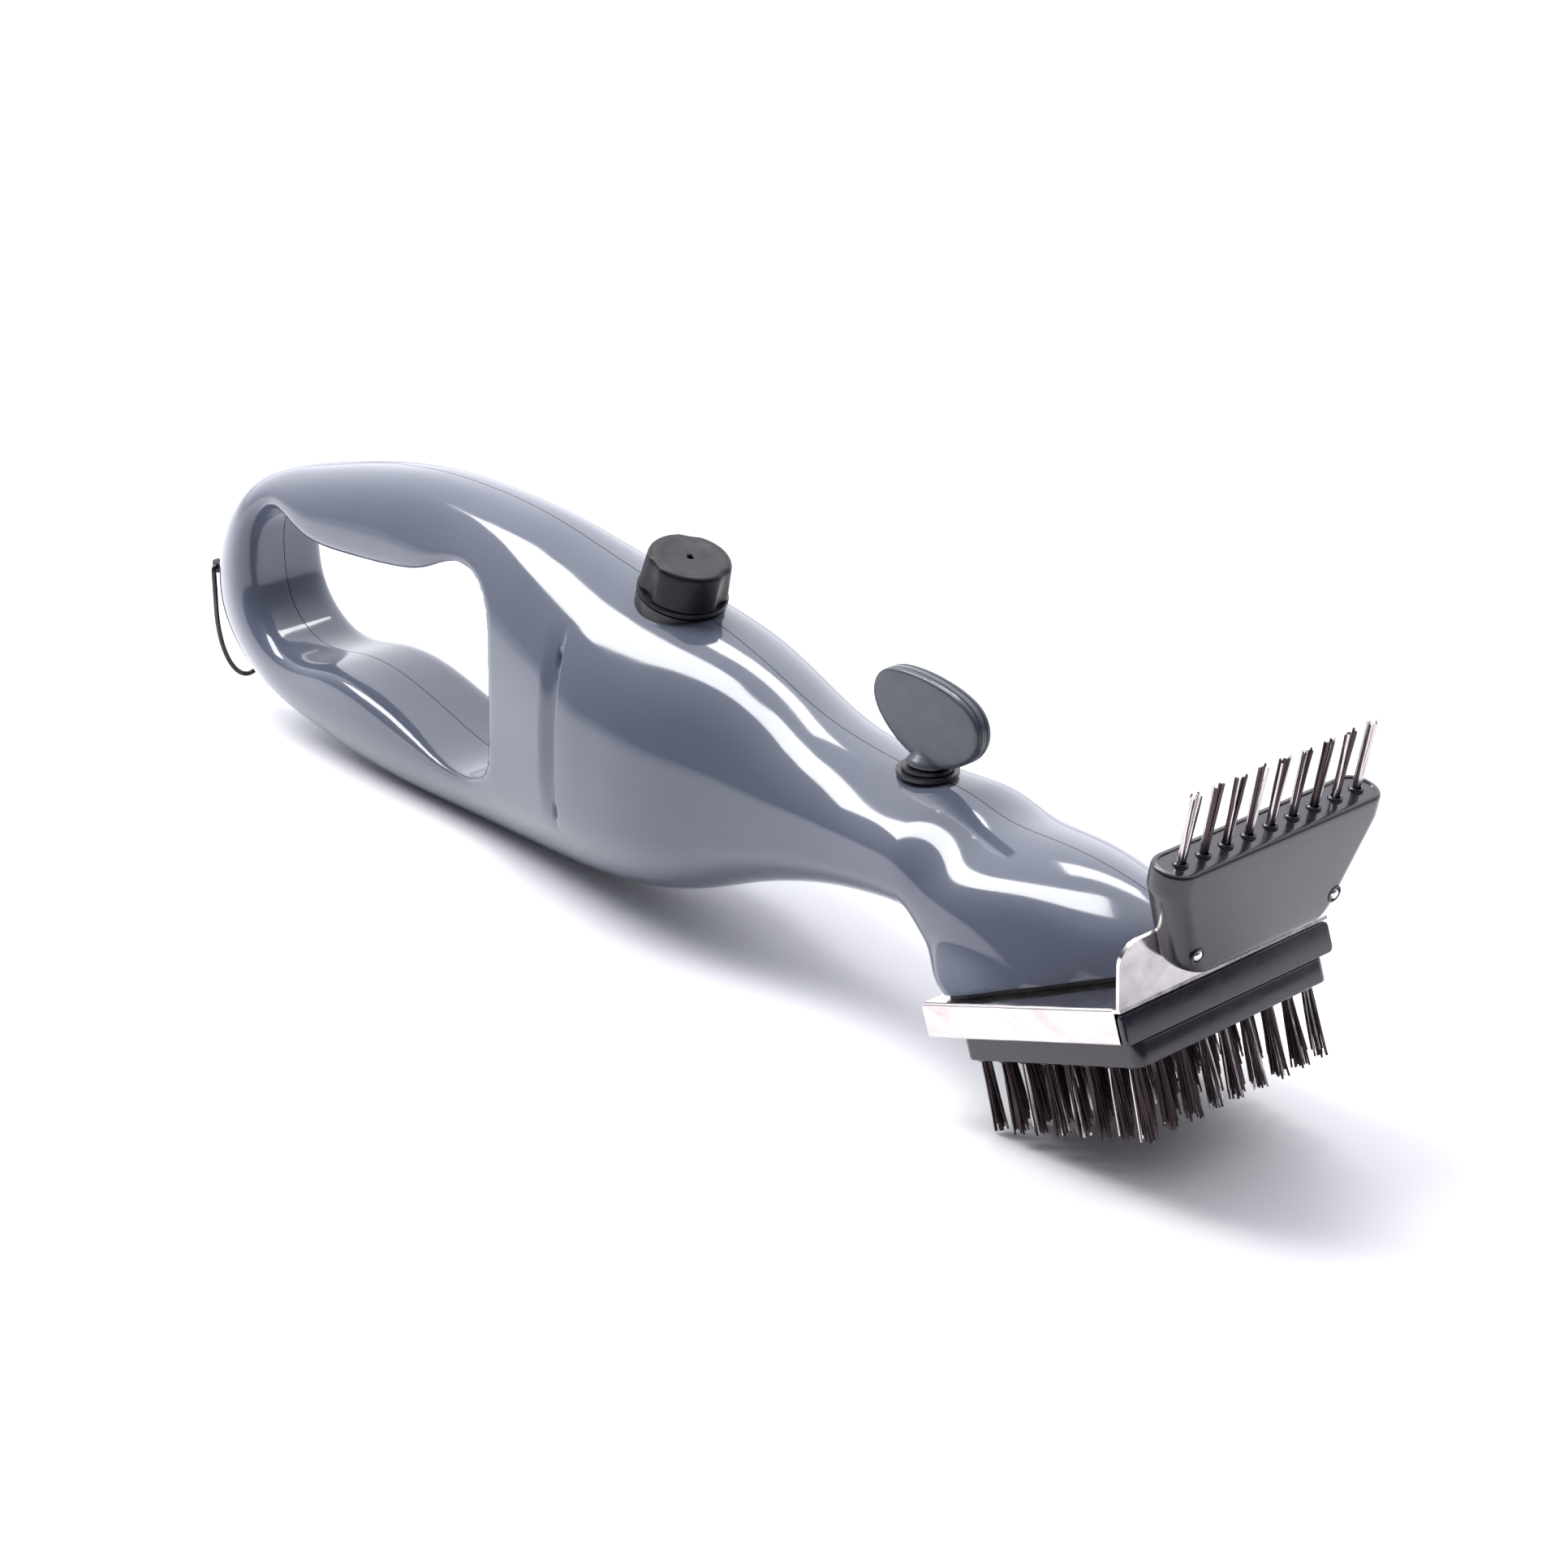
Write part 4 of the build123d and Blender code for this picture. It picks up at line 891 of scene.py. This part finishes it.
# ---- head frame
HEAD = Axes(
    (193.1, 0, 51.2),
    (math.cos(PLATE_TILT), 0, math.sin(PLATE_TILT)),
    (0, 1, 0),
    (-math.sin(PLATE_TILT), 0, math.cos(PLATE_TILT)),
)
TAB_LEAN = math.radians(30.0)
TAB_UP = HEAD.directions[0] * math.sin(TAB_LEAN) + HEAD.directions[2] * math.cos(TAB_LEAN)
TAB_AHEAD = HEAD.directions[0] * math.cos(TAB_LEAN) - HEAD.directions[2] * math.sin(TAB_LEAN)
TAB = Axes(HEAD.place([(1.7, 0, 0)])[0], TAB_AHEAD, (0, 1, 0), TAB_UP)


def rounded_rectangle(rear, front, half_width, corner, steps=8):
    """Closed outline in local along and across, with arcs at its corners."""
    ring = []
    centres = ((front - corner, half_width - corner, 0), (rear + corner, half_width - corner, 90),
               (rear + corner, corner - half_width, 180), (front - corner, corner - half_width, 270))
    for x, y, start in centres:
        for k in range(steps + 1):
            turn = math.radians(start + 90 * k / steps)
            ring.append((x + corner * math.cos(turn), y + corner * math.sin(turn)))
    return ring


def slab(axes, rear, front, half_width, low, high, corner, edge):
    """Block with rounded upright corners and softened top and bottom edges."""
    rings = []
    arc = [(edge * (1 - math.sin(t)), edge * (1 - math.cos(t)))
           for t in (0.0, math.pi / 6, math.pi / 3, math.pi / 2)]
    levels = [(inset, low + rise) for inset, rise in arc]
    levels += [(inset, high - rise) for inset, rise in reversed(arc)]
    for inset, height in levels:
        outline = rounded_rectangle(rear + inset, front - inset, half_width - inset,
                                    max(corner - inset, 0.05))
        rings.append([(x, y, height) for x, y in outline])
    points, faces = stack_rings(rings)
    return axes.place(points), faces


# ---- brush blocks
HALF_PLATE = 37.4
BLOCK_LENGTH = 58.0
FRONT_X = 0.35
RAIL_TOP = -1.25
RAIL_BOTTOM = -7.75
BLOCK_TOP = -9.25
BLOCK_BOTTOM = -15.6
BLOCK_HALF = 34.2
TUFT_PITCH_Y = 7.8
TUFT_PITCH_X = 7.2
TUFT_ROWS = 8
TUFT_COLUMNS = 9
TUFT_FRONT_X = -3.6
SMALL_BASE = 9.0
SMALL_TOP = 40.5
SMALL_SHOULDER = 6.0
SMALL_HALF_BASE = 26.0
SMALL_HALF_TOP = 37.6
SMALL_REAR = -2.6
SMALL_FRONT = 9.4
SMALL_CORNER = 5.6
SMALL_TUFT_AHEAD = 3.8
PIN_SIDE = 24.5
PIN_HEIGHT = 16.0
FASCIA_DEPTH = 1.9
FERRULE_POINTS = 20


def column_places():
    """Where the tufts of one row stand across the head; both brushes share them."""
    return [TUFT_PITCH_Y * (column - (TUFT_COLUMNS - 1) / 2) for column in range(TUFT_COLUMNS)]


def tuft_places():
    """Root centres of the wide brush's tufts in head coordinates, row by row from the front."""
    return [(TUFT_FRONT_X - TUFT_PITCH_X * row, y)
            for row in range(TUFT_ROWS) for y in column_places()]


def ferrule(axes, x, y, base, radius, height):
    """Low moulded collar round a tuft's root; a negative height stands downward."""
    rings = []
    for share, grow in ((-0.3, 0.75), (0.35, 0.7), (0.75, 0.5), (1.0, 0.2), (0.9, 0.0), (0.2, -0.1)):
        outline = circle(radius + grow, FERRULE_POINTS, (x, y))
        rings.append([(*point, base + height * share) for point in outline])
    points, faces = stack_rings(rings)
    return axes.place(points), faces


def make_large_block(material):
    """Rail, web, body and front fascia of the wide brush, with a collar at each tuft."""
    shapes = [
        slab(HEAD, -BLOCK_LENGTH, FRONT_X, HALF_PLATE - 1.3, RAIL_BOTTOM, RAIL_TOP, 0.5, 0.4),
        slab(HEAD, -BLOCK_LENGTH, FRONT_X, HALF_PLATE - 4.1, BLOCK_TOP - 0.5, RAIL_BOTTOM + 0.5,
             0.5, 0.2),
        slab(HEAD, -BLOCK_LENGTH, FRONT_X + 1.5, BLOCK_HALF, BLOCK_BOTTOM, BLOCK_TOP, 3.0, 0.7),
    ]
    upright = Axes(HEAD.place([(FRONT_X, 0, (RAIL_TOP + BLOCK_TOP) / 2)])[0],
                   HEAD.directions[2], HEAD.directions[1], -HEAD.directions[0])
    half_height = (RAIL_TOP - BLOCK_TOP) / 2
    shapes.append(slab(upright, -half_height, half_height, HALF_PLATE, -FASCIA_DEPTH, 0.0, 1.6, 0.55))
    for x, y in tuft_places():
        shapes.append(ferrule(HEAD, x, y, BLOCK_BOTTOM, 1.3, -0.7))
    points, faces = merge(shapes)
    piece = make_piece("large_brush_body", points, faces, "large_brush",
                       [material], replaces=("large_brush_block",))
    sharpen(piece, 40)


def small_half_width(height):
    """Half width of the small brush's block at a height up the tab."""
    shoulder = SMALL_TOP - SMALL_SHOULDER
    rise = min((height - SMALL_BASE) / (shoulder - SMALL_BASE), 1.0)
    half = SMALL_HALF_BASE + (SMALL_HALF_TOP - SMALL_HALF_BASE) * rise
    over_corner = 5.0 - (height - SMALL_BASE)
    if over_corner > 0:
        half -= 4.2 - math.sqrt(max(25 - over_corner**2, 0)) * 0.84
    return half


def pin_pair(profile, count):
    """Round shapes on both pins' axes, through (radius, place ahead) pairs."""
    shapes = []
    for side in (-1, 1):
        rings = []
        for radius, ahead in profile:
            outline = circle(radius, count, (side * PIN_SIDE, PIN_HEIGHT))
            rings.append([(ahead, *point) for point in outline])
        points, faces = stack_rings(rings)
        shapes.append((TAB.place(points), faces))
    return merge(shapes)


def make_small_block(material, dark):
    """Tapered block of the narrow brush with its tuft collars, and the dark rims of its pins."""
    rings = []
    heights = [0, 0.25, 0.8, 1.6, 2.6, 3.8, 5.0, 9.0, 14.0, 19.0, 24.0, 25.5, 27.5, 29.0]
    levels = [(SMALL_BASE + h, max(1.4 - h, 0) ** 2 * 0.6) for h in heights]
    levels += [(SMALL_TOP - 1.2, 0.0), (SMALL_TOP - 0.75, 0.05), (SMALL_TOP - 0.35, 0.25),
               (SMALL_TOP - 0.1, 0.55), (SMALL_TOP, 0.95), (SMALL_TOP, 1.5),
               (SMALL_TOP - 0.35, 1.75), (SMALL_TOP - 0.35, 3.0)]
    for height, inset in levels:
        half = small_half_width(height) - inset
        outline = rounded_rectangle(SMALL_REAR + inset, SMALL_FRONT - inset, half,
                                    SMALL_CORNER - inset)
        rings.append([(x, y, height) for x, y in outline])
    block, faces = stack_rings(rings)
    shapes = [(TAB.place(block), faces)]
    for y in column_places():
        shapes.append(ferrule(TAB, SMALL_TUFT_AHEAD, y, SMALL_TOP - 0.35, 1.2, 0.8))
    points, faces = merge(shapes)
    piece = make_piece("small_brush_body", points, faces, "small_brush",
                       [material], replaces=("small_brush_block",))
    sharpen(piece, 40)
    profile = ((2.25, -0.2), (2.25, 0.12), (1.95, 0.22), (1.7, 0.12), (1.6, -0.3))
    points, faces = pin_pair([(radius, SMALL_FRONT + ahead) for radius, ahead in profile], 40)
    rims = make_piece("pin_rims", points, faces, "small_brush", [dark])
    sharpen(rims, 50)


def make_pins(material):
    """Bright domed pin heads in the small block's lower corners."""
    profile = ((1.4, SMALL_REAR + 0.3), (1.4, SMALL_FRONT - 0.2), (1.25, SMALL_FRONT + 0.15),
               (0.9, SMALL_FRONT + 0.42), (0.45, SMALL_FRONT + 0.55), (0.1, SMALL_FRONT + 0.6))
    points, faces = pin_pair(profile, 32)
    piece = make_piece("block_pins", points, faces, "small_brush", [material],
                       replaces=("small_brush_pins",))
    sharpen(piece, 50)


# ---- wire tufts
TUFT_WIRES = 20
WIRES_IN_LEG = 4
SMALL_WIRE_LENGTH = 18.9
TIP_CLEARANCE = 0.9            # keeps the splayed tips above what the object stands on
ROOT_DEPTH = 1.5               # how far a wire starts inside its block
SUNFLOWER_TURN = 2.399963      # turn from one wire to the next that fills a disc evenly


def wire(axes, root, tip, radius, bow, crimp, sides=6, stretches=6):
    """One bristle from root to tip in local coordinates, slightly bowed and crimped."""
    root, tip = np.array(root), np.array(tip)
    run = tip - root
    run /= np.linalg.norm(run)
    first = np.cross(run, (0.3, 0.9, 0.2))
    first /= np.linalg.norm(first)
    second = np.cross(run, first)
    phase = rng.uniform(0, 2 * math.pi)
    rings = []
    for k in range(stretches + 1):
        t = k / stretches
        side_step = bow * math.sin(math.pi * t) + crimp * math.sin(phase + 9 * t)
        cross_step = crimp * math.cos(phase + 7 * t)
        centre = root + (tip - root) * t + first * side_step + second * cross_step
        rings.append([centre + radius * (first * math.cos(2 * math.pi * j / sides)
                                         + second * math.sin(2 * math.pi * j / sides))
                      for j in range(sides)])
    points, faces = stack_rings(rings)
    return axes.place(points), faces


def folded_tuft(axes, x, y, base, length, radius):
    """Stout wires folded in the root, so they stand as two legs in a narrow V."""
    shapes = []
    for leg in (-1, 1):
        for k in range(WIRES_IN_LEG):
            turn = math.pi * (0.25 + k / 2) + rng.uniform(-0.3, 0.3)
            ahead, across = 0.42 * math.cos(turn), 0.42 * math.sin(turn)
            root = (x + ahead, y + 0.55 * leg + 0.8 * across, base - ROOT_DEPTH)
            tip = (x + 1.2 * ahead + rng.uniform(-0.2, 0.2),
                   y + 1.25 * leg + 0.9 * across + rng.uniform(-0.15, 0.15),
                   base + length * rng.uniform(0.92, 1.0))
            shapes.append(wire(axes, root, tip, radius, rng.uniform(-0.15, 0.15), 0.02))
    return shapes


def tuft(axes, x, y, base, length, count, root_radius, tip_radius, radius, ragged):
    """Wires of one tuft, from a tight root to a wider ragged tip; a negative length points down."""
    shapes = []
    for k in range(count):
        turn = SUNFLOWER_TURN * k + rng.uniform(-0.25, 0.25)
        share = math.sqrt((k + 0.5) / count)
        lean = tip_radius * share * rng.uniform(0.75, 1.12)
        tip_turn = turn + rng.uniform(-0.45, 0.45)
        own_length = length * (1 - ragged * rng.random() ** 1.6)
        root = (x + root_radius * share * math.cos(turn), y + root_radius * share * math.sin(turn),
                base - math.copysign(ROOT_DEPTH, length))
        tip = (x + lean * math.cos(tip_turn), y + lean * math.sin(tip_turn), base + own_length)
        bow = rng.uniform(-0.35, 0.35)
        shapes.append(wire(axes, root, tip, radius, bow, 0.05))
    return shapes


def split_by_tone(name, shapes, body, node, materials, bright_share):
    """One piece of all wires, each wire taking the dark or the bright steel."""
    points, faces = merge(shapes)
    piece = make_piece(name, points, faces, body, materials, replaces=(node,))
    tones = []
    for _, shape_faces in shapes:
        tone = int(rng.random() < bright_share)
        tones += [tone] * len(shape_faces)
    piece.data.polygons.foreach_set("material_index", tones)
    sharpen(piece, 60)


def make_tufts(dark, bright):
    """Wires of both brushes; the wide brush's reach down to what the object stands on."""
    lowest = cad_box[0][2] / MM
    shapes = []
    reach = [HEAD.place([(x, y, BLOCK_BOTTOM)])[0] for x, y in tuft_places()]
    rear_drop = min(point[2] for point in reach) - lowest
    length = rear_drop / math.cos(PLATE_TILT) - TIP_CLEARANCE
    for x, y in tuft_places():
        shapes += tuft(HEAD, x, y, BLOCK_BOTTOM, -length, TUFT_WIRES, 1.15, 2.3, 0.27, 0.16)
    split_by_tone("large_brush_wires", shapes, "large_brush", "large_brush_tufts",
                  [dark, bright], 0.16)
    shapes = []
    for y in column_places():
        shapes += folded_tuft(TAB, SMALL_TUFT_AHEAD, y, SMALL_TOP, SMALL_WIRE_LENGTH, 0.32)
    split_by_tone("small_brush_wires", shapes, "small_brush", "small_brush_tufts",
                  [dark, bright], 0.5)


# ---- everything together
def paint(node, material):
    """Give a CAD piece its finished material."""
    piece = nodes[node]
    if not piece.data.materials:
        piece.data.materials.append(material)
    for index in range(len(piece.material_slots)):
        piece.material_slots[index].material = material


def main():
    """Build everything and give each CAD piece its finish."""
    make_camera()
    make_studio()
    make_floor()
    make_handle()
    cap_black = moulded_plastic("cap_black", (0.003, 0.0022, 0.0048), (0.0065, 0.005, 0.0095),
                                (0.34, 0.48), grain_depth=0.00005, index=1.37)
    collar_black = moulded_plastic("collar_black", (0.01, 0.01, 0.012), (0.018, 0.018, 0.022),
                                   (0.25, 0.4))
    block_black = moulded_plastic("block_black", (0.011, 0.009, 0.016), (0.019, 0.016, 0.027),
                                  (0.14, 0.26), grain_depth=0.00002, index=1.62)
    knob_grey = moulded_plastic("knob_grey", (0.052, 0.061, 0.078), (0.074, 0.085, 0.105), (0.16, 0.3))
    rubber = moulded_plastic("seal_rubber", (0.008, 0.008, 0.009), (0.014, 0.014, 0.016), (0.5, 0.7))
    tube = moulded_plastic("clear_tube", (0.5, 0.48, 0.43), (0.62, 0.6, 0.55), (0.25, 0.4))
    sheet = steel("stainless_sheet", (0.55, 0.48, 0.46), (0.86, 0.83, 0.84), (0.08, 0.2), (0.3, 1, 1),
                  0.00003, dents=0.0005)
    bright = steel("bright_wire", (0.5, 0.45, 0.44), (0.85, 0.8, 0.8), (0.16, 0.3), (1, 1, 0.2),
                   0.00002)
    dark = steel("dark_wire", (0.035, 0.024, 0.027), (0.11, 0.08, 0.083), (0.25, 0.5), (1, 1, 0.2),
                 0.00003)
    loop_wire = steel("loop_wire", (0.03, 0.03, 0.033), (0.08, 0.08, 0.085), (0.25, 0.4), (1, 1, 0.3),
                      0.00002)
    screws = steel("stainless_screw", (0.6, 0.6, 0.6), (0.85, 0.85, 0.85), (0.12, 0.25), (1, 1, 1),
                   0.00001)
    make_cap(cap_black)
    make_knob(knob_grey)
    make_large_block(block_black)
    make_small_block(block_black, collar_black)
    make_pins(screws)
    make_tufts(dark, bright)
    for node in ("filler_neck", "valve_collar", "loop_eyelets", "head_closure", "valve_body"):
        paint(node, collar_black)
    for node in ("cap_gasket", "cap_vent_valve", "stem_o_rings", "head_gasket"):
        paint(node, rubber)
    paint("valve_stem", knob_grey)
    paint("outlet_tube", tube)
    paint("steam_plate", sheet)
    paint("plate_screws", screws)
    paint("hang_loop", loop_wire)


main()
